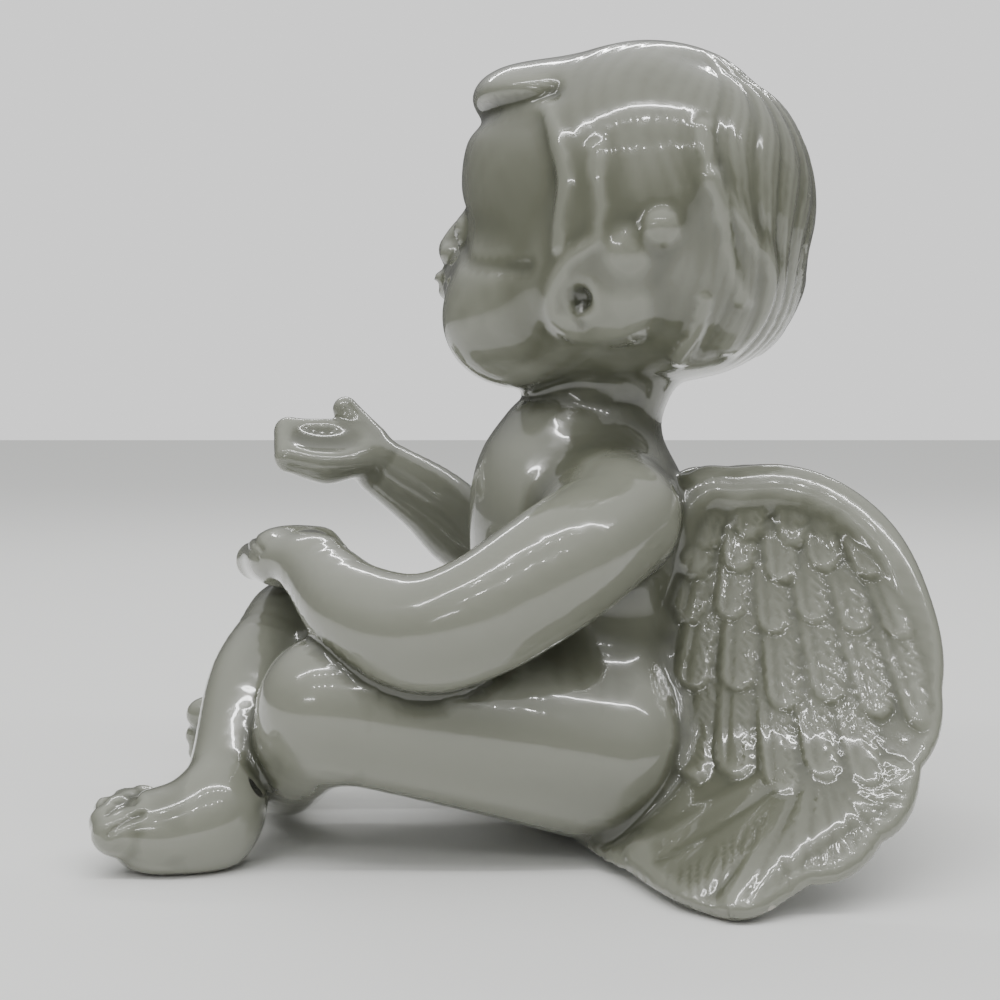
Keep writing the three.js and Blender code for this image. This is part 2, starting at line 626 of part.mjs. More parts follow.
// A closed skin round the field: one point for each crossed cell, one square for each crossed edge
function makeSkin() {
  const { cell, reach, low, high } = skin;
  const count = low.map((v, k) => Math.ceil((high[k] - v) / cell) + 1);
  const values = new Float32Array(count[0] * count[1] * count[2]);
  const at = (i, j, k) => (i * count[1] + j) * count[2] + k;
  for (let i = 0; i < count[0]; i += 1) {
    for (let j = 0; j < count[1]; j += 1) {
      for (let k = 0; k < count[2]; k += 1) {
        values[at(i, j, k)] = figureAt(low[0] + i * cell, low[1] + j * cell, low[2] + k * cell);
      }
    }
  }
  untie(values, count, at);
  const points = [];
  const owner = new Map();
  for (let i = 0; i < count[0] - 1; i += 1) {
    for (let j = 0; j < count[1] - 1; j += 1) {
      for (let k = 0; k < count[2] - 1; k += 1) {
        if (Math.abs(values[at(i, j, k)]) > reach * cell) continue;
        const inside = corners.map(([a, b, c]) => values[at(i + a, j + b, k + c)]);
        const sum = [0, 0, 0];
        let crossed = 0;
        for (const [a, b] of edges) {
          if (inside[a] < 0 === inside[b] < 0) continue;
          const t = inside[a] / (inside[a] - inside[b]);
          crossed += 1;
          for (let axis = 0; axis < 3; axis += 1) {
            sum[axis] += corners[a][axis] + t * (corners[b][axis] - corners[a][axis]);
          }
        }
        if (!crossed) continue;
        owner.set(at(i, j, k), points.length);
        const cellAt = [i, j, k];
        points.push(settle(sum.map((v, axis) => low[axis] + cell * (cellAt[axis] + v / crossed)), 1));
      }
    }
  }
  const faces = [];
  const steps = [[1, 0, 0], [0, 1, 0], [0, 0, 1]];
  for (let i = 1; i < count[0] - 1; i += 1) {
    for (let j = 1; j < count[1] - 1; j += 1) {
      for (let k = 1; k < count[2] - 1; k += 1) {
        for (let axis = 0; axis < 3; axis += 1) {
          const [di, dj, dk] = steps[axis];
          const here = values[at(i, j, k)] < 0;
          if (here === values[at(i + di, j + dj, k + dk)] < 0) continue;
          const [ui, uj, uk] = steps[(axis + 1) % 3];
          const [vi, vj, vk] = steps[(axis + 2) % 3];
          const ring = [
            owner.get(at(i, j, k)),
            owner.get(at(i - ui, j - uj, k - uk)),
            owner.get(at(i - ui - vi, j - uj - vj, k - uk - vk)),
            owner.get(at(i - vi, j - vj, k - vk)),
          ];
          if (!here) ring.reverse();
          faces.push([ring[0], ring[1], ring[2]], [ring[0], ring[2], ring[3]]);
        }
      }
    }
  }
  return { points, faces };
}

const minus = (a, b) => [a[0] - b[0], a[1] - b[1], a[2] - b[2]];
const dot = (a, b) => a[0] * b[0] + a[1] * b[1] + a[2] * b[2];
const cross = (a, b) => [a[1] * b[2] - a[2] * b[1], a[2] * b[0] - a[0] * b[2], a[0] * b[1] - a[1] * b[0]];

// Draws short edges together where the skin stays close to the surface without them
function thinSkin({ points, faces }) {
  const around = points.map(() => new Set());
  faces.forEach((face, i) => face.forEach((v) => around[v].add(i)));
  let left = faces.length;
  const neighbours = (v) => {
    const found = new Set();
    for (const i of around[v]) for (const w of faces[i]) if (w !== v) found.add(w);
    return found;
  };
  const drawTogether = (a, b, slack) => {
    const near = neighbours(a);
    const far = neighbours(b);
    const shared = [...near].filter((v) => far.has(v));
    if (shared.length !== 2 || near.size + far.size - 4 > 9) return false;
    if (shared.some((v) => around[v].size < 5)) return false;
    const middle = points[a].map((v, i) => (v + points[b][i]) / 2);
    if (Math.abs(figureAt(...middle)) > slack * 1.5) return false;
    const moved = settle(middle, 1);
    const kept = [];
    for (const i of new Set([...around[a], ...around[b]])) {
      const face = faces[i];
      if (face.includes(a) && face.includes(b)) continue;
      const before = face.map((v) => points[v]);
      const after = face.map((v) => (v === a || v === b ? moved : points[v]));
      const was = cross(minus(before[1], before[0]), minus(before[2], before[0]));
      const now = cross(minus(after[1], after[0]), minus(after[2], after[0]));
      const size = Math.sqrt(dot(now, now));
      if (dot(was, now) < 0.5 * Math.sqrt(dot(was, was)) * size) return false;
      let longest = 0;
      for (let k = 0; k < 3; k += 1) {
        const edge = minus(after[k], after[(k + 1) % 3]);
        longest = Math.max(longest, dot(edge, edge));
      }
      if (longest > skin.longestEdge ** 2 || size < 0.28 * longest) return false;
      const centre = [0, 1, 2].map((k) => (after[0][k] + after[1][k] + after[2][k]) / 3);
      if (Math.abs(figureAt(...centre)) > slack) return false;
      kept.push(i);
    }
    for (const i of [...around[b]]) {
      const face = faces[i];
      if (face.includes(a)) {
        face.forEach((v) => around[v].delete(i));
        faces[i] = null;
        left -= 1;
      } else {
        faces[i] = face.map((v) => (v === b ? a : v));
        around[a].add(i);
      }
    }
    around[b].clear();
    points[a] = moved;
    return kept.length > 0;
  };
  for (const slack of skin.slacks) {
    for (let pass = 0; pass < 3; pass += 1) {
      const before = left;
      for (let a = 0; a < points.length && left > skin.mostTriangles; a += 1) {
        if (!around[a].size) continue;
        const away = (v) => {
          const edge = minus(points[a], points[v]);
          return dot(edge, edge);
        };
        const close = [...neighbours(a)].sort((v, w) => away(v) - away(w));
        close.some((b) => around[b].size && drawTogether(a, b, slack));
      }
      if (before - left < 40) break;
    }
  }
  const used = new Map();
  const kept = [];
  const triangles = faces.filter(Boolean).map((face) => face.map((v) => {
    if (!used.has(v)) {
      used.set(v, kept.length);
      kept.push(points[v]);
    }
    return used.get(v);
  }));
  return { points: kept, faces: triangles };
}

// Evens out the points over the surface, away from the floor
function relax({ points, faces }) {
  const around = points.map(() => new Set());
  for (const face of faces) {
    face.forEach((v, k) => around[v].add(face[(k + 1) % 3]).add(face[(k + 2) % 3]));
  }
  const moved = points.map((point, i) => {
    if (point[2] < layout.floor + skin.floorMargin) return point;
    const ring = [...around[i]];
    const mean = [0, 1, 2].map((k) => ring.reduce((sum, v) => sum + points[v][k], 0) / ring.length);
    return settle(point.map((v, k) => v + skin.evenShare * (mean[k] - v)), 2);
  });
  return { points: moved, faces };
}

const wasm = await Module();
wasm.setup();

function solidFrom(positions, triangles) {
  return new wasm.Manifold(new wasm.Mesh({
    numProp: 3,
    vertProperties: Float32Array.from(positions),
    triVerts: Uint32Array.from(triangles),
  }));
}

// The block that is taken away under the floor
const underFloor = { width: 200, length: 220, depth: 20 };

// Cuts away what is under the floor, so that soles, seat and wing tips stand flat
function standFlat({ points, faces }) {
  const level = points.map(([x, y, z]) => [x, y, Math.abs(z - layout.floor) < skin.floorSnap ? layout.floor : z]);
  const whole = solidFrom(level.flat(), faces.flat());
  const { width, length, depth } = underFloor;
  const block = new THREE.BoxGeometry(width, length, depth);
  block.translate(0, 0, layout.floor - depth / 2);
  const position = block.getAttribute('position');
  const corners = [];
  const order = Array.from(block.index.array, (v) => {
    const key = [position.getX(v), position.getY(v), position.getZ(v)];
    let found = corners.findIndex((corner) => corner.every((value, k) => value === key[k]));
    if (found < 0) found = corners.push(key) - 1;
    return found;
  });
  return whole.subtract(solidFrom(corners.flat(), order)).getMesh();
}

const cut = standFlat(relax(relax(thinSkin(makeSkin()))));
const geometry = new THREE.BufferGeometry();
geometry.setAttribute('position', new THREE.BufferAttribute(Float32Array.from(cut.vertProperties), 3));
geometry.setIndex(Array.from(cut.triVerts));
geometry.computeBoundingBox();
const middle = geometry.boundingBox.getCenter(new THREE.Vector3());
geometry.translate(-middle.x, -middle.y, -layout.floor);
geometry.computeVertexNormals();

const glaze = new THREE.MeshStandardMaterial({ color: 0xd9dbd2, roughness: 0.12, metalness: 0 });
const figurine = new THREE.Mesh(geometry, glaze);
figurine.name = 'figurine';

const cherub = new THREE.Group();
cherub.add(figurine);
export default cherub;
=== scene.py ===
import math
import time

import bpy
import numpy as np
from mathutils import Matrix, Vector


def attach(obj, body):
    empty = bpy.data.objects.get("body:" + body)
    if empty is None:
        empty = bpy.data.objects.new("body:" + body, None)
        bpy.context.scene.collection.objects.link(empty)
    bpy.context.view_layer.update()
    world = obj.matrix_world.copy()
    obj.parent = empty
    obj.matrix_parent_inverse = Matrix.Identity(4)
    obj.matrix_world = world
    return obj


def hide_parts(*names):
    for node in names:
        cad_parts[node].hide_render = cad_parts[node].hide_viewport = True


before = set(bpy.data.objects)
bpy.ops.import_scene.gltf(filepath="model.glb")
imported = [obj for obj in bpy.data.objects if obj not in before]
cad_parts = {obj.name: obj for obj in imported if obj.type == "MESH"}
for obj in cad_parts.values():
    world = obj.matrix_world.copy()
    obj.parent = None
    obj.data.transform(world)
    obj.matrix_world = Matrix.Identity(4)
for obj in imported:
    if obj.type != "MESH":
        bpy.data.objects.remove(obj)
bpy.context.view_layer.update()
startTime = time.time()


def report(words):
    print("cherub:", words, f"({time.time() - startTime:.0f} s)")


# Everything below is in millimetres round a point between the hips, as the cast was laid out:
# the child faces -Y and its left is +X. At the end it is moved over the origin and made metres.
layout = {"floor": -1.8, "middleX": -0.12, "middleY": 2.82}
skin = {
    "low": (-66, -80, -8), "high": (66, 84, 154),
    "cell": 1.54,
    "block": 6,      # cells along the side of a block that is looked at as one
    "closeBlocks": 1.3, "batch": 400,
    "clearance": 9,  # a form further off than this is only estimated
    "handReach": 24, "footReach": 26,  # how far a hand or foot spreads from its middle
    "footEdge": 1.2,
    "untieRounds": 20, "pinchFill": -0.2,
    "slopeStep": 0.15, "leastSlope": 0.25, "longestStep": 1.2,
    "crease": 16,    # degrees between neighbours where the mesh is made finer
}
detail = {  # where the mesh is made finer: the head, balls round hands and feet, the wings' outer faces
    "headFrom": 87,
    "balls": [((0, -42, 50), 16), ((-28, -37, 71), 16), ((30, -63, 5), 14), ((-28, -61, 7), 14)],
    "wingFrom": 6, "wingBack": 26, "wingAcross": (0.5, 5), "wingBeyond": 1,
}

# How softly the main forms flow together: the arms are soft at the shoulder and crisp below it
joins = {
    "neck": 9, "thigh": 7, "shins": 1.5, "foot": 3, "leg": 3, "leftHand": 4, "rightHand": 3,
    "shoulder": 6, "arm": 1.8, "armHeights": (52, 64), "head": 2.5, "wing": 3,
    "fingers": 4, "knuckles": 1.2, "hollow": 2, "thumb": 2, "instep": 5, "toe": 1.2,
    "nose": 2.6, "face": 2.5, "cap": 1.5, "fringe": 3, "ears": 10, "earHoles": 1.8,
}

# Body: a ball of the trunk is a centre, radii and the softness of its join, one of a hand or foot
# is a centre, radii and a turn, and a point along a limb, finger or thumb ends in the radius there
trunk = {
    "balls": [
        ((0, 17, 23), (26, 22, 26.5), 1),
        ((0, 18, 48), (23.5, 18.5, 26), 12),
        ((0, 8, 31), (19, 15, 16), 10),
        ((0, 19.5, 60), (27.5, 15, 13), 10),
        ((-2, 7, 58), (20, 13, 19), 8),
    ],
    "neck": [(0, 14, 68, 13.5), (0, 17, 78, 12.6), (0, 21, 86, 12.6)],
}
limbs = {
    "leftArm": [(23.5, 21.5, 59.5, 10.8), (34, 11, 53, 11.2), (38.5, -3, 44.5, 10.6),
                (36, -14, 41, 10.3), (29, -25, 43.5, 8.8), (18, -33, 49, 6.8)],
    "rightArm": [(-24, 15, 59.5, 11), (-34, 4, 53, 10), (-34.5, -6, 51.5, 9),
                 (-31.5, -15, 59, 7.6), (-29.5, -25, 66, 6)],
    "leftThigh": [(20, 19, 17, 17), (25, -3, 22, 15), (27.5, -30, 26.5, 12.8)],
    "leftShin": [(27.5, -30, 26, 12.2), (20, -37, 17, 9.5), (5, -41.5, 9, 8.2), (-12, -46, 7.2, 6.8)],
    "rightThigh": [(-18, 19, 18, 17), (-14, -6, 27, 14.5), (-5, -39, 34.5, 11)],
    "rightShin": [(-5, -40.5, 34, 10.6), (8, -46.4, 27, 9), (20.5, -48.4, 15, 8), (26.5, -50, 9, 7.8)],
}
leftHand = {
    "palm": ((9, -38.5, 51), (11, 8, 5.4), (0, -8, 28)),
    "knuckles": (5, -38.5, 51.8), "tips": (-3.5, -43.8, 49.6),
    "spread": (-1.9, 2.5, 0.1), "radii": (4.3, 3.8),
    "thumb": [(5, -31.5, 50, 3.4), (-3, -33.5, 49, 3), (-7, -35, 47.5, 2.6)],
}
rightHand = {
    "palm": ((-27, -33.5, 69.6), (7.4, 9, 4.2), (0, 40, 0)),
    "hollow": ((-23.6, -35.5, 73.8), (4.8, 8, 3.2), (0, 40, 0)),
    "knuckles": (-27, -37, 69.6), "tips": (-26.2, -44.2, 71),
    "spread": (2.1, 0.3, -1.75), "radii": (3.4, 3.1),
    "thumb": [(-31, -27.5, 72, 3.4), (-32.3, -30.8, 75.6, 3), (-32.6, -33, 78.4, 2.6)],
}
toeStretch = 1.25
rightFoot = {
    "balls": [((29.5, -50.5, 6.8), (8, 8, 9.4), (0, 0, 0)),
              ((31.5, -58.8, 4.8), (8.2, 10.6, 8), (0, 0, 0))],
    "toes": [(35.6, -66.2, 5.6, 4), (33, -68, 7, 3.4), (29.9, -68.2, 8.2, 3.2),
             (26.8, -66.9, 8.8, 3), (24, -64.8, 8.6, 2.7)],
}
leftFoot = {
    "balls": [((-16, -48, 5.4), (7.4, 7.6, 7.4), (0, 0, 0)),
              ((-23.5, -55.5, 6), (6.4, 10.5, 7.8), (0, 0, -38))],
    "toes": [(-29.2, -62.4, 13.2, 3.8), (-30.4, -64, 8.4, 2.9), (-30, -63.6, 4.9, 2.7),
             (-28.6, -62.4, 2.1, 2.5), (-26.8, -60.6, 0.4, 2.3)],
}

# Head: its own frame is left, front and up from the centre, turned to the child's right
head = {"at": (0, 27.3, 114.5), "turn": 22, "reach": 44}
face = {  # "side" forms are mirrored over the middle of the face
    "skull": ((0, -0.5, 2.5), (30.5, 31, 29.5)),
    "parts": [
        ("jaw", "whole", (0, 9, -13), (25.5, 24.5, 19.5), (0, 0, 0), 12),
        ("brow", "whole", (0, 15, 10), (24, 19.5, 19), (0, 0, 0), 8),
        ("cheeks", "side", (14.5, 21.5, -18.5), (12.8, 12.7, 12.5), (0, 0, 0), 8),
        ("muzzle", "whole", (0, 25.5, -11), (12.5, 14.8, 11.5), (0, 0, 0), 8),
        ("chin", "whole", (0, 30, -23.5), (8, 7, 6), (0, 0, 0), 6),
        ("sockets", "pressed", (10.8, 38.6, -0.8), (6.6, 6, 4.6), (0, 0, 0), 5),
        ("eyes", "side", (10.8, 30.4, -1.6), (5.2, 3.7, 3.9), (0, 0, 0), 1.8),
        ("nostrils", "side", (3, 38.2, -4.9), (2.3, 2.6, 1.9), (0, 0, 0), 1.6),
        ("upperLip", "side", (1.9, 40.2, -9.6), (3, 2.4, 1.6), (0, 14, 0), 1.5),
        ("lowerLip", "whole", (0, 39.8, -12.4), (3.7, 2.4, 1.8), (0, 0, 0), 1.5),
    ],
    "nose": [(0, 32.5, 2.5, 3), (0, 36.6, -1, 3.4), (0, 38.8, -4, 3.6)],
    "ears": ((26.4, 1.4, -14.4), (2.9, 6, 7)),
    "earHoles": ((31.3, 1.8, -15.9), (2.4, 1.8, 2)),
    "curls": [((28.4, -5.6, -8), (4.2, 4.8, 5.2), 2.2), ((28.2, -11.8, -3.8), (3.2, 3.2, 3.2), 2.2),
              ((26.2, -4.2, -16.8), (3, 4.2, 4.4), 5)],
}
hair = {
    "cap": ((0, -0.4, 2.4), (32.4, 31.9, 31.2)),
    "nape": ((0, -9.5, -12.5), (25.5, 19, 16.5)),
    "fringe": ((0, 13.6, 20.8), (25, 19.2, 9.6), (10, 0, 0)),
    "faceFront": 5.6, "faceSweep": 4.6, "sweepHeights": (4, 20), "faceTop": 19,
    "capJoin": 6, "crown": -7, "locks": 19, "lockHeight": 0.5, "lockMiddle": 0.55,
    "softShare": 0.14, "fringeShare": 0.3,
    "strands": 7, "strandHeight": 0.14, "strandMiddle": 0.15, "strandShare": 0.35,
    "sway": (0.22, 0.1), "drift": (0.5, 0.35),  # how far locks and strands wander
    "crownFade": (3, 13), "napeFade": (-30, -20), "deepFront": (-24, -12),
    # the hollow behind the crown: depth, distance and width, and where it comes in
    "dip": (0.9, 15, 4), "dipBack": (0, -10), "dipTop": (18, 26),
    # edges of the locks beside the face and behind the ear: height, width, points front and up
    "edges": [
        (0.7, 1.7, [(10, 18), (6.9, 10.2), (5.3, 4.8), (5.7, -1.2), (5.6, -6.4)]),
        (0.7, 1.7, [(-1.2, 9.7), (-2.2, 1), (-1.6, -5.8), (3.5, -9.3),
                    (6.9, -14), (7.4, -18.3), (4.6, -21)]),
        (0.8, 1.3, [(-18.1, 13.4), (-20.1, 2.5), (-21.9, -4.1), (-22.8, -10.8), (-23.4, -15.7)]),
        (0.9, 1.5, [(-20.3, 4.6), (-24.8, -4), (-27.2, -8.9), (-27.6, -13.8),
                    (-24.9, -19.9), (-20.3, -24.5)]),
        (0.9, 1.0, [(-18.3, -15.9), (-16.3, -21), (-11.5, -26.3)]),
    ],
}
creases = {  # height, width and points: left and up on the face, front and up beside it
    "front": [
        (-0.55, 0.55, [(6, -2.2), (10.8, -3.9), (15.6, -2)]),
        (-0.3, 0.6, [(5.6, 1.8), (10.8, 4), (16.4, 1.6)]),
        (-0.4, 0.5, [(0, -11), (2.6, -10.9), (5.4, -10.2)]),
        (-0.25, 0.8, [(0, -6.8), (0, -8.4)]),
    ],
    "side": [(-0.4, 1.6, [(29.5, -5), (26, -8.4), (19, -9.6), (12.5, -10)])],
    "fringe": [(-1.5, 2.2, [(34, 18.8), (27.5, 19.4), (15.4, 20.2), (9.5, 21.6)])],
    "ear": [(-0.35, 0.8, [(2.4, -17.4), (2.8, -19), (2, -20.4)])],
    # points back and up on the figure itself
    "toes": [
        (-0.55, 0.5, [(-67.7, 6.5), (-66.1, 7.8), (-64, 9), (-61.9, 9.7)]),
        (-0.5, 0.45, [(-68.3, 9.6), (-66.6, 10.5), (-63.4, 11.2)]),
        (-0.45, 0.45, [(-70.2, 10.6), (-68.5, 11.7), (-64.1, 11.9)]),
        (-0.35, 0.4, [(-69.2, 11.9), (-66.7, 12.4)]),
    ],
    "fingers": [
        (-0.4, 0.45, [(-47.6, 55.2), (-46.6, 54.7), (-44, 53.2)]),
        (-0.35, 0.45, [(-48.2, 52.8), (-47.4, 52.5), (-45, 51.6)]),
    ],
    "neck": [(-0.3, 1.2, [(2, 81.4), (8.3, 80.8), (18.5, 80), (26, 80.4)])],
}
places = {  # where creases are looked for: low and high corner, and where the head and a wing begin
    "toes": ((24, -99, -9), (99, -58, 16)), "fingers": ((-8, -99, 47), (20, -42, 60)),
    "neck": ((-16, -99, 75), (16, 36, 86)), "headFrom": 84, "wing": (4, 12, 74),
}

# Wings: a bowed sheet whose outline, seen from the side, runs round a heart point
wing = {
    "heart": (47, 36), "half": 2, "rim": 1.9, "rimInset": 4.5, "rimWidth": 4, "rounding": 1.8,
    "farDrop": 1.4, "scallop": 1.1, "scallopStep": 25, "scalloped": (250, 350), "plainRim": (-2.4, -0.6),
    "leadFrom": (-30, 50), "leadTo": (118, 140),  # where the thick leading rim comes and goes, in degrees
    "middle": (30, 46, 30), "reach": 56, "step": 0.5,
    "radii": {0: 30.6, 20: 31.4, 41: 33, 61: 33.6, 78: 33.4, 95: 32.6, 111: 33.2, 140: 25, 165: 24, 195: 28,
              214: 40, 223: 46, 230: 47, 236: 43.4, 247: 40.8, 256: 38.6, 264: 35, 272: 33.1, 288: 31.8,
              303: 31, 311: 30.3, 325: 29.2, 340: 29.3},
}
sheet = {  # the bow of a wing: how far out its root and rim stand, and how far back they lie, going up
    "top": 72, "climb": 70, "rootX": (24, 15), "rootY": (16, 17), "rootCurve": 0.7,
    "rimX": (15, 44), "rimCurve": 1.35, "span": (24, 28), "spanHeight": 24, "past": (-0.35, 1.2),
}
feathers = {  # rows from the shoulder down, each laid over the next one
    "lift": 0.85, "rootRise": 0.25, "backShare": 0.4, "edge": 1.9, "leanFrom": (50, 98), "lean": 0.9,
    "uneven": (1.2, 2.4),
    "shaft": 0.16, "shaftAt": 0.9, "shaftWidth": 0.4, "shaftFrom": (1, 3),
    "barb": 0.16, "barbStep": 2.1, "barbSlant": 1.35, "barbWander": 0.5,
    "barbEdge": (-0.2, 1), "vaneFrom": (0.2, 1.6), "vaneEdge": (-0.2, 0.5),
    "rows": [
        {"from": 37, "to": 62, "count": 4, "tips": (52.5, 55.5), "length": 11, "half": 3.7},
        {"from": 35, "to": 67, "count": 5, "tips": (47.5, 48.5), "length": 12, "half": 3.8},
        {"from": 34, "to": 71, "count": 6, "tips": (39.4, 39), "length": 13, "half": 3.8},
        {"from": 34, "to": 73, "count": 6, "tips": (28, 25.5), "length": 19, "half": 3.9},
        {"from": 33, "to": 62, "count": 5, "tips": (14.2, 16), "length": 19, "half": 3.9},
    ],
    "fan": {"pivot": (55, 20), "from": 212, "to": 345, "count": 8, "inner": 2, "half": 4.6,
            "longest": 60, "step": 0.5, "past": 1},
}
fades = {  # distances over which a relief comes in
    "hair": (0.5, 2.2), "headSide": (6, 12), "faceFront": (16, 22),
    "wing": (0.4, 2.0), "featherRim": (-4, -1.5), "featherRoot": (29, 34), "rootSlant": 0.12,
    "aboveFan": (14, 22), "floor": 2,
}


# Fields: distance to a form in millimetres, negative inside
def smooth(low, high, v):
    t = np.clip((v - low) / (high - low), 0, 1)
    return t * t * (3 - 2 * t)


def blend(a, b, soft):  # two forms flow together
    overlap = np.maximum(soft - np.abs(a - b), 0) / soft
    return np.minimum(a, b) - overlap * overlap * soft / 4


def carve(a, b, soft):  # b is pressed into a
    overlap = np.maximum(soft - np.abs(a + b), 0) / soft
    return np.maximum(a, -b) + overlap * overlap * soft / 4


def turned(angles):
    (cx, sx), (cy, sy), (cz, sz) = ((math.cos(math.radians(v)), math.sin(math.radians(v))) for v in angles)
    aboutX = np.array([[1, 0, 0], [0, cx, -sx], [0, sx, cx]])
    aboutY = np.array([[cy, 0, sy], [0, 1, 0], [-sy, 0, cy]])
    aboutZ = np.array([[cz, -sz, 0], [sz, cz, 0], [0, 0, 1]])
    return aboutZ @ aboutY @ aboutX


def ball(p, at, radii, turn=(0, 0, 0)):
    q = p - np.array(at)
    if any(turn):
        q = q @ turned(turn)
    r = np.array(radii)
    size = np.sqrt(((q / r) ** 2).sum(1))
    slope = np.sqrt(((q / (r * r)) ** 2).sum(1)) + 1e-6
    return size * (size - 1) / slope


def near(p, at, radius, form):  # a form is only worked out where it can be felt
    off = np.sqrt(((p - np.array(at)) ** 2).sum(1)) - radius
    close = off < skin["clearance"]
    if close.any():
        off[close] = form(p[close])
    return off


def smoothLine(points, steps):
    pts = np.array(points, float)
    pts = np.vstack([2 * pts[0] - pts[1], pts, 2 * pts[-1] - pts[-2]])
    out = []
    for i in range(1, len(pts) - 2):
        p0, p1, p2, p3 = pts[i - 1:i + 3]
        for t in np.arange(steps) / steps:
            bend = (2 * p0 - 5 * p1 + 4 * p2 - p3) * t * t + (3 * p1 - p0 - 3 * p2 + p3) * t ** 3
            out.append(0.5 * (2 * p1 + (p2 - p0) * t + bend))
    out.append(pts[-2])
    return np.array(out)


def limb(p, points, steps=6):
    line = smoothLine(points, steps)
    middle = (line[0, :3] + line[-1, :3]) / 2
    reach = (np.sqrt(((line[:, :3] - middle) ** 2).sum(1)) + line[:, 3]).max()

    def form(q):
        best = np.full(len(q), np.inf)
        for a, b in zip(line[:-1], line[1:]):
            along = b[:3] - a[:3]
            off = q - a[:3]
            h = np.clip(off @ along / (along @ along), 0, 1)
            far = np.sqrt(((off - h[:, None] * along) ** 2).sum(1))
            best = np.minimum(best, far - a[3] - (b[3] - a[3]) * h)
        return best
    return near(p, middle, reach, form)


def ridge(u, v, points, width):  # how strongly a soft line is felt, from 0 to 1
    line = smoothLine(points, 4)
    best = np.full(len(u), np.inf)
    for a, b in zip(line[:-1], line[1:]):
        du, dv = b - a
        h = np.clip(((u - a[0]) * du + (v - a[1]) * dv) / (du * du + dv * dv), 0, 1)
        best = np.minimum(best, (u - a[0] - h * du) ** 2 + (v - a[1] - h * dv) ** 2)
    return np.exp(-best / width ** 2)


def headFrame(p):
    c, s = math.cos(math.radians(head["turn"])), math.sin(math.radians(head["turn"]))
    d = p - np.array(head["at"])
    return np.stack([d[:, 0] * c - d[:, 1] * s, -d[:, 0] * s - d[:, 1] * c, d[:, 2]], 1)


def mirrored(q):
    return np.stack([np.abs(q[:, 0]), q[:, 1], q[:, 2]], 1)


def hairField(q):
    cap = blend(ball(q, *hair["cap"]), ball(q, *hair["nape"]), hair["capJoin"])
    front = hair["faceFront"] + hair["faceSweep"] * smooth(*hair["sweepHeights"], q[:, 2])
    opening = np.maximum(front - q[:, 1], q[:, 2] - hair["faceTop"])
    return carve(cap, opening, joins["face"]), ball(q, *hair["fringe"])


def headField(p):
    q = headFrame(p)
    m = mirrored(q)
    d = ball(q, *face["skull"])
    for name, kind, at, radii, turn, soft in face["parts"]:
        form = ball(q if kind == "whole" else m, at, radii, turn)
        d = carve(d, form, soft) if kind == "pressed" else blend(d, form, soft)
        if name == "eyes":
            d = blend(d, limb(q, face["nose"], 2), joins["nose"])
    cap, fringe = hairField(q)
    d = blend(d, cap, joins["cap"])
    d = blend(d, fringe, joins["fringe"])
    d = blend(d, ball(m, *face["ears"]), joins["ears"])
    for at, radii, soft in face["curls"]:
        d = blend(d, ball(m, at, radii), soft)
    return carve(d, ball(m, *face["earHoles"]), joins["earHoles"])


def handField(p, hand):
    def form(q):
        d = ball(q, *hand["palm"])
        row = None
        for place in (-1.5, -0.5, 0.5, 1.5):
            shift = np.array(hand["spread"]) * place
            ends = [(*(np.array(hand[end]) + shift), r)
                    for end, r in zip(("knuckles", "tips"), hand["radii"])]
            finger = limb(q, ends, 1)
            row = finger if place < -1 else blend(row, finger, joins["knuckles"])
        d = blend(d, row, joins["fingers"])
        if "hollow" in hand:
            d = carve(d, ball(q, *hand["hollow"]), joins["hollow"])
        return blend(d, limb(q, hand["thumb"], 2), joins["thumb"])
    return near(p, hand["palm"][0], skin["handReach"], form)


def footField(p, foot):
    def form(q):
        heel, instep = (ball(q, *shape) for shape in foot["balls"])
        d = blend(heel, instep, joins["instep"])
        for x, y, z, r in foot["toes"]:
            d = blend(d, ball(q, (x, y, z), (r, r * toeStretch, r)), joins["toe"])
        return d
    return near(p, foot["balls"][1][0], skin["footReach"], form)


def wingOutline():  # radius at each degree, with scalloped feather ends below
    keys = sorted(wing["radii"])
    angles = [keys[-1] - 360] + keys + [keys[0] + 360, keys[1] + 360]
    sizes = [wing["radii"][k % 360] for k in angles]
    line = smoothLine(list(zip(angles, sizes)), 12)
    degrees = np.arange(361)
    first, last = wing["scalloped"]
    wave = np.abs(np.sin((degrees - first) * math.pi / wing["scallopStep"]))
    wave = wave * ((degrees > first) & (degrees < last))
    return np.interp(degrees, line[:, 0], line[:, 1]) + wing["scallop"] * wave


outline = wingOutline()


def outlineAt(angle):
    return np.interp(angle % 360, np.arange(361), outline)


def sheetAt(y, z):  # how far out from the middle of the body the wing stands
    climb = np.clip(z, 0, sheet["top"]) / sheet["climb"]
    rootX = sheet["rootX"][0] - sheet["rootX"][1] * climb
    rootY = sheet["rootY"][0] + sheet["rootY"][1] * climb ** sheet["rootCurve"]
    rimX = sheet["rimX"][0] + sheet["rimX"][1] * np.clip(1 - climb, 0, 1) ** sheet["rimCurve"]
    span = sheet["span"][0] + sheet["span"][1] * smooth(0, sheet["spanHeight"], z)
    t = np.clip((y - rootY) / span, *sheet["past"])
    bow = np.where(t > 0, np.sin(np.clip(t, 0, 1) * math.pi / 2), t * math.pi / 2)
    return rootX + (rimX - rootX) * bow


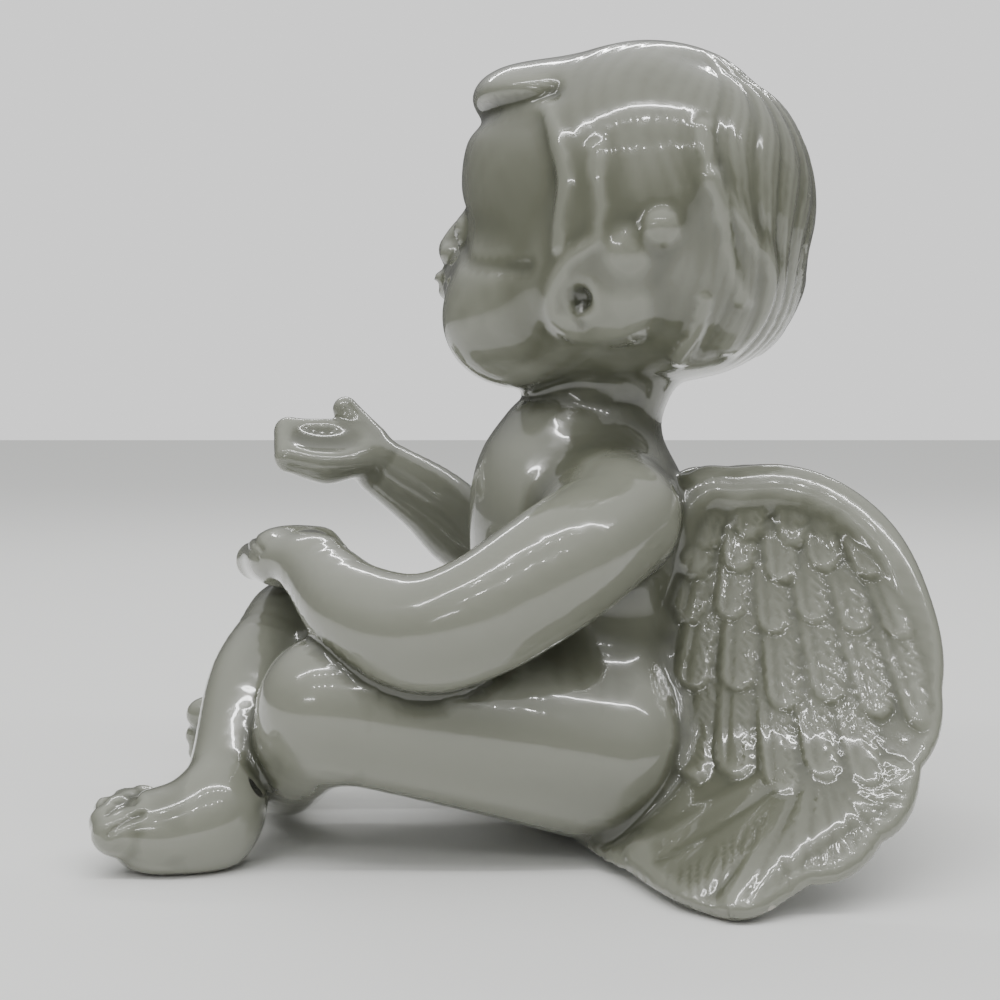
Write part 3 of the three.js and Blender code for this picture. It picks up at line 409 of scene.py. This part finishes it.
def wingPlace(p, side):  # beyond the rim, across the sheet, share of the leading rim, side view
    y, up = p[:, 1], p[:, 2] + (wing["farDrop"] if side < 0 else 0)
    dy, dz = y - wing["heart"][0], up - wing["heart"][1]
    angle = np.degrees(np.arctan2(dz, dy))
    r = outlineAt(angle)
    slope = (outlineAt(angle + 2) - outlineAt(angle - 2)) / math.radians(4) / r
    beyond = (np.hypot(dy, dz) - r) / np.sqrt(1 + slope ** 2)
    e = wing["step"]
    slopeY = (sheetAt(y + e, up) - sheetAt(y - e, up)) / (2 * e)
    slopeZ = (sheetAt(y, up + e) - sheetAt(y, up - e)) / (2 * e)
    across = (p[:, 0] * side - sheetAt(y, up)) / np.sqrt(1 + slopeY ** 2 + slopeZ ** 2)
    lead = smooth(*wing["leadFrom"], angle) * (1 - smooth(*wing["leadTo"], angle))
    return beyond, across, lead, y, up


def wingField(p, side):
    def form(q):
        beyond, across, lead, _, _ = wingPlace(q, side)
        roll = lead * np.exp(-((beyond + wing["rimInset"]) / wing["rimWidth"]) ** 2)
        thick = np.abs(across) - wing["half"] - wing["rim"] * roll + wing["rounding"]
        wide = beyond + wing["rounding"]
        corner = np.hypot(np.maximum(wide, 0), np.maximum(thick, 0))
        return corner - wing["rounding"] + np.minimum(np.maximum(wide, thick), 0)
    x, y, z = wing["middle"]
    return near(p, (x * side, y, z), wing["reach"], form)


def figureField(p):
    d = ball(p, trunk["balls"][0][0], trunk["balls"][0][1])
    for at, radii, soft in trunk["balls"][1:]:
        d = blend(d, ball(p, at, radii), soft)
    d = blend(d, limb(p, trunk["neck"], 2), joins["neck"])
    d = blend(d, limb(p, limbs["leftThigh"]), joins["thigh"])
    d = blend(d, limb(p, limbs["rightThigh"]), joins["thigh"])
    shins = blend(limb(p, limbs["leftShin"]), limb(p, limbs["rightShin"]), joins["shins"])
    shins = blend(shins, footField(p, leftFoot), joins["foot"])
    shins = blend(shins, footField(p, rightFoot), joins["foot"])
    d = blend(d, shins, joins["leg"])
    arms = np.minimum(limb(p, limbs["leftArm"]), limb(p, limbs["rightArm"]))
    arms = blend(arms, handField(p, leftHand), joins["leftHand"])
    arms = blend(arms, handField(p, rightHand), joins["rightHand"])
    armSoft = joins["arm"] + (joins["shoulder"] - joins["arm"]) * smooth(*joins["armHeights"], p[:, 2])
    d = blend(d, arms, armSoft)
    d = blend(d, near(p, head["at"], head["reach"], headField), joins["head"])
    d = blend(d, np.minimum(wingField(p, 1), wingField(p, -1)), joins["wing"])
    return carve(d, p[:, 2] - layout["floor"], skin["footEdge"])


# Relief: how far the modelling stands out of the smooth form, in millimetres
def lockRelief(q):
    left, front, up = q.T
    behind = front - hair["crown"]
    around = np.arctan2(left, behind)
    wide, narrow = hair["sway"]
    sway = wide * np.sin(2 * around + 0.9) + narrow * np.sin(up * 0.16 + 3 * around)
    turn = (around + sway) * hair["locks"] / 2
    reach = np.hypot(left, behind)
    fade = smooth(*hair["crownFade"], reach) * smooth(*hair["napeFade"], up)
    sharp = 1 - smooth(*hair["deepFront"], front)  # deep behind, only hinted at beside the face
    combed = sharp * (np.abs(np.sin(turn)) - hair["lockMiddle"])
    combed = combed + (1 - sharp) * hair["softShare"] * np.sin(2 * turn) / 2
    locks = hair["lockHeight"] * combed
    wide, narrow = hair["drift"]
    drift = wide * np.sin(up * 0.21 + 5 * around) + narrow * np.sin(front * 0.17 - 3 * around)
    strands = hair["strandHeight"] * np.abs(np.sin(turn * hair["strands"] / 2 + drift)) - hair["strandMiddle"]
    depth, distance, width = hair["dip"]
    dip = depth * np.exp(-((reach - distance) / width) ** 2)
    dip = dip * smooth(*hair["dipBack"], behind) * smooth(*hair["dipTop"], up)
    return (locks + strands * (hair["strandShare"] + (1 - hair["strandShare"]) * sharp)) * fade - dip


def headRelief(p):
    q = headFrame(p)
    side = np.abs(q[:, 0])
    cap, fringe = hairField(q)
    onHair = 1 - smooth(*fades["hair"], np.abs(np.minimum(cap, fringe)))
    height = lockRelief(q) * onHair * np.where(fringe < cap, hair["fringeShare"], 1)
    onSide = smooth(*fades["headSide"], side)
    for lift, width, line in hair["edges"]:
        height += lift * ridge(q[:, 1], q[:, 2], line, width) * onSide
    onFace = smooth(*fades["faceFront"], q[:, 1]) * (1 - onHair)
    felt = {"front": onFace, "fringe": 1, "side": onSide * (1 - onHair), "ear": onSide}
    for name, share in felt.items():
        for lift, width, line in creases[name]:
            height += lift * ridge(side if name == "front" else q[:, 1], q[:, 2], line, width) * share
    return height


def skinRelief(p, name):  # creases seen from the side
    height = np.zeros(len(p))
    for lift, width, line in creases[name]:
        height += lift * ridge(p[:, 1], p[:, 2], line, width)
    return height


def featherList():
    found = []
    height, turn = feathers["uneven"]
    for row in feathers["rows"]:
        for i in range(row["count"]):
            t = i / (row["count"] - 1)
            y = row["from"] + (row["to"] - row["from"]) * t
            z = row["tips"][0] + (row["tips"][1] - row["tips"][0]) * t + height * math.sin(i * turn)
            way = np.array([(feathers["leanFrom"][0] - y) * feathers["lean"], feathers["leanFrom"][1] - z])
            found.append((y, z, way / np.hypot(*way), row["length"], row["half"]))
    fan = feathers["fan"]
    for angle in np.linspace(fan["from"], fan["to"], fan["count"]):
        way = np.array([math.cos(math.radians(angle)), math.sin(math.radians(angle))])
        reach = np.arange(fan["inner"], fan["longest"], fan["step"])
        off = np.array(fan["pivot"]) + reach[:, None] * way - np.array(wing["heart"])
        past = np.hypot(*off.T) > outlineAt(np.degrees(np.arctan2(off[:, 1], off[:, 0]))) + fan["past"]
        length = reach[np.argmax(past)]
        y, z = np.array(fan["pivot"]) + way * length
        found.append((y, z, -way, length - fan["inner"], fan["half"]))
    return found


def featherRelief(y, z):
    best = np.zeros(len(y))
    carved = np.zeros(len(y))
    for tipY, tipZ, way, length, half in featherList():
        dy, dz = y - tipY, z - tipZ
        along = dy * way[0] + dz * way[1]
        across = dz * way[0] - dy * way[1]
        on = (along > -1) & (along < length) & (np.abs(across) < half)
        inside = half - np.hypot(across, np.minimum(along - half, 0))
        rise = feathers["rootRise"] + (1 - feathers["rootRise"]) * (1 - np.clip(along / length, 0, 1))
        height = np.where(on, feathers["lift"] * rise * smooth(0, feathers["edge"], inside), 0)
        wander = feathers["barbWander"] * np.sin(along * 0.9 + tipY)
        slant = (along - across * feathers["barbSlant"] + wander) * 2 * math.pi / feathers["barbStep"]
        onVane = smooth(*feathers["vaneFrom"], -across) * smooth(*feathers["vaneEdge"], inside)
        shaft = np.exp(-((across - feathers["shaftAt"]) / feathers["shaftWidth"]) ** 2)
        shaft = shaft * smooth(*feathers["shaftFrom"], along)
        barbs = smooth(*feathers["barbEdge"], np.cos(slant)) * onVane
        fine = -feathers["shaft"] * shaft - feathers["barb"] * barbs
        carved = np.where(height > best, fine, carved)
        best = np.maximum(best, height)
    return best + carved


def wingRelief(p, side):
    beyond, across, lead, y, up = wingPlace(p, side)
    onWing = 1 - smooth(*fades["wing"], np.abs(wingField(p, side)))
    insideRim = 1 - smooth(*fades["featherRim"], beyond + lead * (wing["rimInset"] + 1))
    inField = insideRim * smooth(*fades["featherRoot"], y + fades["rootSlant"] * up)
    calm = (1 - (1 - inField) * smooth(*fades["aboveFan"], up)) * (1 - smooth(*wing["plainRim"], beyond))
    share = np.where(across > 0, 1.0, feathers["backShare"])
    offFloor = smooth(layout["floor"], layout["floor"] + fades["floor"], p[:, 2])
    return featherRelief(y, up) * calm * share * onWing * offFloor


def reliefAt(p):
    height = np.zeros(len(p))
    onHead = p[:, 2] > places["headFrom"]
    height[onHead] += headRelief(p[onHead])
    for name in ("toes", "fingers", "neck"):
        low, high = places[name]
        on = ((p > low) & (p < high)).all(1)
        height[on] += skinRelief(p[on], name)
    out, back, top = places["wing"]
    for side in (1, -1):
        onWing = (p[:, 1] > back) & (p[:, 2] < top) & (p[:, 0] * side > out)
        height[onWing] += wingRelief(p[onWing], side)
    return height


# Skin: the fields turned into one closed mesh
def slopeAt(p):
    e = skin["slopeStep"]
    steps = np.eye(3) * e
    return np.stack([(figureField(p + s) - figureField(p - s)) / (2 * e) for s in steps], 1)


def normalAt(p):
    slope = slopeAt(p)
    return slope / np.linalg.norm(slope, axis=1)[:, None]


def settle(p, rounds=2):  # points are drawn onto the form
    for _ in range(rounds):
        slope = slopeAt(p)
        share = figureField(p) / np.maximum((slope ** 2).sum(1), skin["leastSlope"])
        p = p - np.clip(share, -skin["longestStep"], skin["longestStep"])[:, None] * slope
    return p


def sampleField():
    cell, block = skin["cell"], skin["block"]
    low = np.array(skin["low"], float)
    blocks = np.ceil((np.array(skin["high"]) - low) / cell / block).astype(int)
    where = np.stack(np.meshgrid(*[np.arange(n) for n in blocks], indexing="ij"), -1)
    middle = low + (where.reshape(-1, 3) + 0.5) * block * cell
    rough = figureField(middle)
    size = block * cell
    values = np.repeat(np.repeat(np.repeat(rough.reshape(blocks), block, 0), block, 1), block, 2)
    close = np.argwhere(np.abs(rough.reshape(blocks)) < size * skin["closeBlocks"])
    local = np.stack(np.meshgrid(*[np.arange(block)] * 3, indexing="ij"), -1).reshape(-1, 3)
    for start in range(0, len(close), skin["batch"]):
        index = (close[start:start + skin["batch"], None] * block + local).reshape(-1, 3)
        values[tuple(index.T)] = figureField(low + index * cell)
    return values


cellCorners = np.array([[c & 1, (c >> 1) & 1, (c >> 2) & 1] for c in range(8)])
cellEdges = [(a, a | bit) for a in range(8) for bit in (1, 2, 4) if not a & bit]


def untie(values):  # a corner is filled where two sheets pinch on the side of a cell
    for _ in range(skin["untieRounds"]):
        inside = values < 0
        changed = 0
        for axis in range(3):
            a, b = [k for k in range(3) if k != axis]
            c00 = inside
            c10, c01 = np.roll(inside, -1, a), np.roll(inside, -1, b)
            c11 = np.roll(c10, -1, b)
            crossed = np.argwhere((c00 == c11) & (c10 == c01) & (c00 != c10))
            for place in crossed:
                corners = [place.copy() for _ in range(4)]
                corners[1][a] += 1
                corners[2][b] += 1
                corners[3][a] += 1
                corners[3][b] += 1
                outer = [tuple(q) for q in corners if values[tuple(q)] >= 0]
                if len(outer) == 2:
                    values[min(outer, key=lambda q: values[q])] = skin["pinchFill"]
                    changed += 1
        if not changed:
            break
    return values


def netSkin(values):
    low, cell = np.array(skin["low"], float), skin["cell"]
    inside = values < 0
    corner = [inside[a:inside.shape[0] - 1 + a, b:inside.shape[1] - 1 + b, c:inside.shape[2] - 1 + c]
              for a, b, c in cellCorners]
    total = sum(c.astype(np.int8) for c in corner)
    cells = np.argwhere((total > 0) & (total < 8))
    at = [values[tuple((cells + c).T)] for c in cellCorners]
    summed = np.zeros((len(cells), 3))
    crossed = np.zeros(len(cells))
    for a, b in cellEdges:
        cut = (at[a] < 0) != (at[b] < 0)
        t = np.where(cut, at[a] / np.where(cut, at[a] - at[b], 1), 0)
        place = cellCorners[a] + t[:, None] * (cellCorners[b] - cellCorners[a])
        summed += place * cut[:, None]
        crossed += cut
    points = low + cell * (cells + summed / crossed[:, None])
    owner = np.full(np.array(values.shape) - 1, -1)
    owner[tuple(cells.T)] = np.arange(len(cells))
    quads = []
    for axis in range(3):
        u, v = np.roll(np.eye(3, dtype=int), -(axis + 1), 0)[:2]
        step = np.eye(3, dtype=int)[axis]
        here = inside[1:-1, 1:-1, 1:-1]
        there = inside[tuple(slice(1 + s, inside.shape[k] - 1 + s) for k, s in enumerate(step))]
        edges = np.argwhere(here != there) + 1
        ring = np.stack([owner[tuple(e.T)] for e in (edges, edges - u, edges - u - v, edges - v)], 1)
        outward = inside[tuple(edges.T)]
        quads.append(np.where(outward[:, None], ring, ring[:, ::-1]))
    return points, np.vstack(quads)


def splitQuads(points, quads):  # along the shorter diagonal
    d02 = ((points[quads[:, 0]] - points[quads[:, 2]]) ** 2).sum(1)
    d13 = ((points[quads[:, 1]] - points[quads[:, 3]]) ** 2).sum(1)
    first = np.where((d02 <= d13)[:, None], quads[:, [0, 1, 2]], quads[:, [0, 1, 3]])
    second = np.where((d02 <= d13)[:, None], quads[:, [0, 2, 3]], quads[:, [1, 2, 3]])
    return np.vstack([first, second])


def refine(points, faces, fine):  # every edge between two marked points is halved
    pairs = np.sort(np.stack([faces, np.roll(faces, -1, 1)], 2).reshape(-1, 2), 1)
    unique, inverse = np.unique(pairs, axis=0, return_inverse=True)
    inverse = inverse.reshape(-1)
    split = fine[unique[:, 0]] & fine[unique[:, 1]]
    number = np.full(len(unique), -1)
    number[split] = len(points) + np.arange(split.sum())
    middle = (points[unique[split, 0]] + points[unique[split, 1]]) / 2
    points = np.vstack([points, middle])
    halves = number[inverse].reshape(-1, 3)
    made = []
    for pattern in range(8):
        on = [bool(pattern & bit) for bit in (1, 2, 4)]
        rows = np.all((halves >= 0) == np.array(on), 1)
        f, h = faces[rows], halves[rows]
        if sum(on) == 0:
            made.append(f)
        elif sum(on) == 3:
            made += [np.stack(t, 1) for t in ((f[:, 0], h[:, 0], h[:, 2]), (h[:, 0], f[:, 1], h[:, 1]),
                                              (h[:, 2], h[:, 1], f[:, 2]), (h[:, 0], h[:, 1], h[:, 2]))]
        else:
            k = on.index(True) if sum(on) == 1 else (on.index(False) + 1) % 3
            f, h = np.roll(f, -k, 1), np.roll(h, -k, 1)
            if sum(on) == 1:
                made += [np.stack(t, 1) for t in ((f[:, 0], h[:, 0], f[:, 2]), (h[:, 0], f[:, 1], f[:, 2]))]
            else:
                made += [np.stack(t, 1) for t in ((h[:, 0], f[:, 1], h[:, 1]), (f[:, 0], h[:, 0], h[:, 1]),
                                                  (f[:, 0], h[:, 1], f[:, 2]))]
    return points, np.vstack(made)


def needsDetail(p):
    wanted = p[:, 2] > detail["headFrom"]
    for at, radius in detail["balls"]:
        wanted |= np.linalg.norm(p - at, axis=1) < radius
    inner, outer = detail["wingAcross"]
    for side in (1, -1):
        beyond, across, _, y, _ = wingPlace(p, side)
        onWing = (p[:, 0] * side > detail["wingFrom"]) & (y > detail["wingBack"])
        wanted |= onWing & (across > inner) & (across < outer) & (beyond < detail["wingBeyond"])
    return wanted


def isCreased(points, faces):  # where the skin turns sharply from one point to the next
    normal = normalAt(points)
    marked = np.zeros(len(points), bool)
    for a, b in ((0, 1), (1, 2), (2, 0)):
        sharp = (normal[faces[:, a]] * normal[faces[:, b]]).sum(1) < math.cos(math.radians(skin["crease"]))
        marked[faces[sharp].ravel()] = True
    return marked


def makeFigure():
    values = untie(sampleField())
    report(f"field {values.shape}")
    points, quads = netSkin(values)
    points = settle(points)
    faces = splitQuads(points, quads)
    report(f"first skin, {len(faces)} triangles")
    points, faces = refine(points, faces, needsDetail(points) | isCreased(points, faces))
    points = settle(points)
    points = points + reliefAt(points)[:, None] * normalAt(points)
    report(f"full skin, {len(faces)} triangles")
    points = points - (layout["middleX"], layout["middleY"], layout["floor"])
    mesh = bpy.data.meshes.new("figurine")
    mesh.from_pydata(points / 1000, [], faces)
    mesh.update()
    mesh.shade_smooth()
    piece = bpy.data.objects.new("porcelainFigure", mesh)
    bpy.context.scene.collection.objects.link(piece)
    return piece


# Glaze: thick and glassy; greener and darker in hollows, partly where it pools and partly painted shade, and
# whiter on raised edges, partly thin glaze and partly painted light
glaze = {
    # the darkest colour is partly glaze pooling and partly painted shade in hollows; the lightest is partly
    # thin glaze and partly painted light on raised edges
    "white": (0.146, 0.151, 0.112, 1), "pooledAndShaded": (0.064, 0.067, 0.047, 1), "thinAndLit": (0.25, 0.257, 0.21, 1),
    "stops": {"thinAndLit": 0.25, "white": 0.5, "pooledAndShaded": 0.95},
    "bare": (0.50, 0.48, 0.43, 1), "bareHeight": (0.00015, 0.0006),
    "poolAndShadeDepth": 0.00055, "smoothSteps": 14,
    "ior": 1.5, "roughness": 0.16, "bareRoughness": 0.85, "coatRoughness": 0.03,
    "cloud": {"scale": 28, "detail": 3, "share": 0.14,
              "dark": (0.35, (0.80, 0.80, 0.76, 1)), "light": (0.65, (1, 1, 1, 1))},
    "ripple": {"scale": 240, "detail": 1, "strength": 0.12, "depth": 0.0006},
    # flaws: middle and half sizes in the layout's millimetres, turn about X
    "crack": ((28, -43.3, 12.4), (9, 0.32, 2.3), 31), "crackColour": (0.015, 0.015, 0.012, 1),
    "chip": ((58, 43.2, 0.7), (3, 0.9, 0.8), 20), "flawEdge": (1.15, 0.85),
}


def glazeSkinTree():
    # how far each point lies under or over the smoothed form is kept as an attribute; the glaze uses it to
    # darken hollows, as pooling and painted shade, and to lighten raised edges with painted light
    tree = bpy.data.node_groups.new("glazePoolingAndShade", "GeometryNodeTree")
    tree.is_modifier = True
    sockets = {}
    for socketName, kind, value in (
            ("Geometry", "NodeSocketGeometry", None), ("Depth", "NodeSocketFloat", glaze["poolAndShadeDepth"]),
            ("Steps", "NodeSocketInt", glaze["smoothSteps"]), ("Glaze", "NodeSocketMaterial", None)):
        socket = tree.interface.new_socket(name=socketName, in_out="INPUT", socket_type=kind)
        if value is not None:
            socket.default_value = value
        sockets[socketName] = socket.identifier
    tree.interface.new_socket(name="Geometry", in_out="OUTPUT", socket_type="NodeSocketGeometry")
    nodes, links = tree.nodes, tree.links
    given, result = nodes.new("NodeGroupInput"), nodes.new("NodeGroupOutput")
    position, normal = nodes.new("GeometryNodeInputPosition"), nodes.new("GeometryNodeInputNormal")
    blur = nodes.new("GeometryNodeBlurAttribute")
    blur.data_type = "FLOAT_VECTOR"
    links.new(position.outputs[0], blur.inputs["Value"])
    links.new(given.outputs["Steps"], blur.inputs["Iterations"])
    under = nodes.new("ShaderNodeVectorMath")
    under.operation = "SUBTRACT"
    links.new(blur.outputs["Value"], under.inputs[0])
    links.new(position.outputs[0], under.inputs[1])
    depth = nodes.new("ShaderNodeVectorMath")
    depth.operation = "DOT_PRODUCT"
    links.new(under.outputs[0], depth.inputs[0])
    links.new(normal.outputs[0], depth.inputs[1])
    share = nodes.new("ShaderNodeMath")
    share.operation = "DIVIDE"
    links.new(depth.outputs["Value"], share.inputs[0])
    links.new(given.outputs["Depth"], share.inputs[1])
    store = nodes.new("GeometryNodeStoreNamedAttribute")
    store.data_type = "FLOAT"
    store.domain = "POINT"
    store.inputs["Name"].default_value = "poolAndShade"
    links.new(given.outputs["Geometry"], store.inputs["Geometry"])
    links.new(share.outputs[0], store.inputs["Value"])
    real = nodes.new("GeometryNodeRealizeInstances")
    links.new(store.outputs[0], real.inputs[0])
    coat = nodes.new("GeometryNodeSetMaterial")
    links.new(real.outputs[0], coat.inputs["Geometry"])
    links.new(given.outputs["Glaze"], coat.inputs["Material"])
    links.new(coat.outputs[0], result.inputs[0])
    return tree, sockets


def applyTree(piece, tree, values):  # the piece becomes the tree's plain mesh
    modifier = piece.modifiers.new(tree.name, "NODES")
    modifier.node_group = tree
    for key, value in values.items():
        modifier[key] = value
    depsgraph = bpy.context.evaluated_depsgraph_get()
    mesh = bpy.data.meshes.new_from_object(piece.evaluated_get(depsgraph))
    piece.modifiers.remove(modifier)
    piece.data = mesh


def ranged(nodes, links, value, given, wanted=(0, 1)):
    spread = nodes.new("ShaderNodeMapRange")
    spread.inputs["From Min"].default_value, spread.inputs["From Max"].default_value = given
    spread.inputs["To Min"].default_value, spread.inputs["To Max"].default_value = wanted
    links.new(value, spread.inputs["Value"])
    return spread.outputs[0]


def noise(nodes, links, place, settings):
    cloud = nodes.new("ShaderNodeTexNoise")
    cloud.inputs["Scale"].default_value = settings["scale"]
    cloud.inputs["Detail"].default_value = settings["detail"]
    links.new(place.outputs["Object"], cloud.inputs["Vector"])
    return cloud.outputs["Fac"]


def ramped(nodes, links, value, first, last):  # each end is a place and a colour
    ramp = nodes.new("ShaderNodeValToRGB")
    for stop, (place, colour) in zip(ramp.color_ramp.elements, (first, last)):
        stop.position, stop.color = place, colour
    links.new(value, ramp.inputs[0])
    return ramp


def flawMask(nodes, links, place, flaw):  # 1 inside a stretched ball, 0 outside
    at, size, turn = flaw
    into = nodes.new("ShaderNodeMapping")
    into.vector_type = "TEXTURE"
    moved = np.array(at) - (layout["middleX"], layout["middleY"], layout["floor"])
    into.inputs["Location"].default_value = moved / 1000
    into.inputs["Rotation"].default_value = (math.radians(turn), 0, 0)
    into.inputs["Scale"].default_value = np.array(size) / 1000
    links.new(place.outputs["Object"], into.inputs["Vector"])
    reach = nodes.new("ShaderNodeVectorMath")
    reach.operation = "LENGTH"
    links.new(into.outputs[0], reach.inputs[0])
    return ranged(nodes, links, reach.outputs["Value"], glaze["flawEdge"])


def mixIn(nodes, links, share, under, colour):
    mix = nodes.new("ShaderNodeMix")
    mix.data_type = "RGBA"
    links.new(share, mix.inputs[0])
    links.new(under, mix.inputs[6])
    mix.inputs[7].default_value = colour
    return mix.outputs[2]


def glazeMaterial():
    material = bpy.data.materials.new("whiteGlaze")
    material.use_nodes = True
    nodes, links = material.node_tree.nodes, material.node_tree.links
    shader = nodes["Principled BSDF"]
    shader.inputs["IOR"].default_value = glaze["ior"]
    shader.inputs["Coat Roughness"].default_value = glaze["coatRoughness"]
    place = nodes.new("ShaderNodeTexCoord")
    # how deep a point lies in a hollow: besides the glaze pooling, it paints shade into hollows and light
    # onto raised edges
    poolAndShade = nodes.new("ShaderNodeAttribute")
    poolAndShade.attribute_name = "poolAndShade"
    stops = glaze["stops"]
    # raised edges take the lightest colour, partly thin glaze and partly painted light; hollows the darkest,
    # partly pooling and partly painted shade
    pooledAndShaded = ramped(nodes, links, ranged(nodes, links, poolAndShade.outputs["Fac"], (-1, 1)),
                    (stops["thinAndLit"], glaze["thinAndLit"]), (stops["pooledAndShaded"], glaze["pooledAndShaded"]))
    pooledAndShaded.color_ramp.elements.new(stops["white"]).color = glaze["white"]
    cloud = glaze["cloud"]
    clouds = ramped(nodes, links, noise(nodes, links, place, cloud), cloud["dark"], cloud["light"])
    tint = nodes.new("ShaderNodeMix")
    tint.data_type = "RGBA"
    tint.blend_type = "MULTIPLY"
    tint.inputs[0].default_value = cloud["share"]
    links.new(pooledAndShaded.outputs[0], tint.inputs[6])
    links.new(clouds.outputs[0], tint.inputs[7])
    # bare clay on the flats underneath
    split = nodes.new("ShaderNodeSeparateXYZ")
    links.new(place.outputs["Object"], split.inputs[0])
    glazed = ranged(nodes, links, split.outputs["Z"], glaze["bareHeight"])
    foot = nodes.new("ShaderNodeMix")
    foot.data_type = "RGBA"
    links.new(glazed, foot.inputs[0])
    foot.inputs[6].default_value = glaze["bare"]
    links.new(tint.outputs[2], foot.inputs[7])
    crack = flawMask(nodes, links, place, glaze["crack"])
    chip = flawMask(nodes, links, place, glaze["chip"])
    cracked = mixIn(nodes, links, crack, foot.outputs[2], glaze["crackColour"])
    links.new(mixIn(nodes, links, chip, cracked, glaze["bare"]), shader.inputs["Base Color"])
    whole = nodes.new("ShaderNodeMath")
    whole.operation = "SUBTRACT"
    whole.use_clamp = True
    links.new(glazed, whole.inputs[0])
    links.new(chip, whole.inputs[1])
    gloss = ranged(nodes, links, whole.outputs[0], (0, 1), (glaze["bareRoughness"], glaze["roughness"]))
    links.new(gloss, shader.inputs["Roughness"])
    links.new(whole.outputs[0], shader.inputs["Coat Weight"])
    ripple = glaze["ripple"]
    bump = nodes.new("ShaderNodeBump")
    bump.inputs["Strength"].default_value = ripple["strength"]
    bump.inputs["Distance"].default_value = ripple["depth"]
    links.new(noise(nodes, links, place, ripple), bump.inputs["Height"])
    links.new(bump.outputs[0], shader.inputs["Normal"])
    return material


figure = makeFigure()
tree, sockets = glazeSkinTree()
whiteGlaze = glazeMaterial()
applyTree(figure, tree, {sockets["Depth"]: glaze["poolAndShadeDepth"], sockets["Steps"]: glaze["smoothSteps"],
                         sockets["Glaze"]: whiteGlaze})
figure.data.name = "porcelainFigure"
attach(figure, "root")
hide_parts("figurine")
report("figure glazed")

# Stage: a pale floor in a light tent, strips that draw the bright lines on the glaze, small lamps
stage = {
    "floorSize": 4.0, "floorColour": (0.9, 0.9, 0.89, 1), "floorRoughness": 0.9, "floorShine": 0.1,
    # the tent is bright overhead and dull at the sides: place up the room and colour of each
    "side": (0.15, (0.13, 0.13, 0.127, 1)), "overhead": (0.95, (1.05, 1.06, 1.05, 1)),
    "brightness": 1.0, "backdrop": (1.15, 1.15, 1.15, 1),
    "strips": [  # name, place, width, length, watts
        ("stripHigh", (0.26, 0.03, 0.72), 0.014, 1.5, 3.6),
        ("stripFar", (-0.5, 0.03, 0.55), 0.014, 0.8, 1.3),
        ("stripLow", (0.72, -0.45, 0.36), 0.012, 0.3, 0.35),
    ],
    # rows of small lamps, seen in the glaze as dots: distance and height of each row
    "lampRows": [(0.36, 0.66), (0.56, 0.52)],
    "lamps": {"count": 7, "spread": 0.3, "size": 0.016, "watts": 0.05},
    "aimHeight": 0.08,
}


def addLamp(name, place, width, length, watts):  # its long side lies along Y
    light = bpy.data.lights.new(name, "AREA")
    light.shape = "RECTANGLE"
    light.size, light.size_y = length, width
    light.energy = watts
    lamp = bpy.data.objects.new(name, light)
    lamp.location = place
    away = Vector(place) - Vector((0, place[1], stage["aimHeight"]))
    lamp.rotation_euler = away.to_track_quat("Z", "Y").to_euler()
    bpy.context.scene.collection.objects.link(lamp)


def makeStage():
    size = stage["floorSize"] / 2
    mesh = bpy.data.meshes.new("floor")
    corners = [(-size, -size, 0), (size, -size, 0), (size, size, 0), (-size, size, 0)]
    mesh.from_pydata(corners, [], [(0, 1, 2, 3)])
    floor = bpy.data.objects.new("floor", mesh)
    bpy.context.scene.collection.objects.link(floor)
    pale = bpy.data.materials.new("paleFloor")
    pale.use_nodes = True
    shader = pale.node_tree.nodes["Principled BSDF"]
    shader.inputs["Base Color"].default_value = stage["floorColour"]
    shader.inputs["Roughness"].default_value = stage["floorRoughness"]
    shader.inputs["Specular IOR Level"].default_value = stage["floorShine"]
    mesh.materials.append(pale)
    for name, place, width, length, watts in stage["strips"]:
        addLamp(name, place, width, length, watts)
    lamps = stage["lamps"]
    for row, (x, z) in enumerate(stage["lampRows"]):
        for i in range(lamps["count"]):
            y = lamps["spread"] * (2 * i / (lamps["count"] - 1) - 1)
            addLamp(f"smallLamp{row + 1}_{i + 1}", (x, y, z), lamps["size"], lamps["size"], lamps["watts"])


def makeRoom():
    world = bpy.data.worlds.new("lightTent")
    world.use_nodes = True
    nodes, links = world.node_tree.nodes, world.node_tree.links
    place = nodes.new("ShaderNodeTexCoord")
    split = nodes.new("ShaderNodeSeparateXYZ")
    links.new(place.outputs["Generated"], split.inputs[0])
    tent = ramped(nodes, links, split.outputs["Z"], stage["side"], stage["overhead"])
    tent.color_ramp.interpolation = "EASE"
    # straight behind the figure stands a plain white backdrop
    ray = nodes.new("ShaderNodeLightPath")
    seen = mixIn(nodes, links, ray.outputs["Is Camera Ray"], tent.outputs[0], stage["backdrop"])
    background = nodes["Background"]
    links.new(seen, background.inputs["Color"])
    background.inputs["Strength"].default_value = stage["brightness"]
    bpy.context.scene.world = world


# Camera at the photograph's viewing angle: at chest height, looking a little down at the left side
cameraView = {
    "place": (310, 0, 84.5), "focalPixels": 1605, "horizonPixel": 380, "framePixels": 1000, "sensor": 36,
    "nearest": 0.01,
}


def makeCamera():
    camera = bpy.data.cameras.new("camera")
    camera.sensor_width = cameraView["sensor"]
    camera.lens = cameraView["sensor"] * cameraView["focalPixels"] / cameraView["framePixels"]
    camera.clip_start = cameraView["nearest"]
    holder = bpy.data.objects.new("camera", camera)
    x, y, z = cameraView["place"]
    middle = layout["middleX"], layout["middleY"], layout["floor"]
    holder.location = Vector((x - middle[0], y - middle[1], z - middle[2])) / 1000
    dip = math.atan((cameraView["framePixels"] / 2 - cameraView["horizonPixel"]) / cameraView["focalPixels"])
    holder.rotation_euler = (math.pi / 2 - dip, 0, math.pi / 2)
    bpy.context.scene.collection.objects.link(holder)
    bpy.context.scene.camera = holder


makeStage()
makeRoom()
makeCamera()
report("stage and camera")
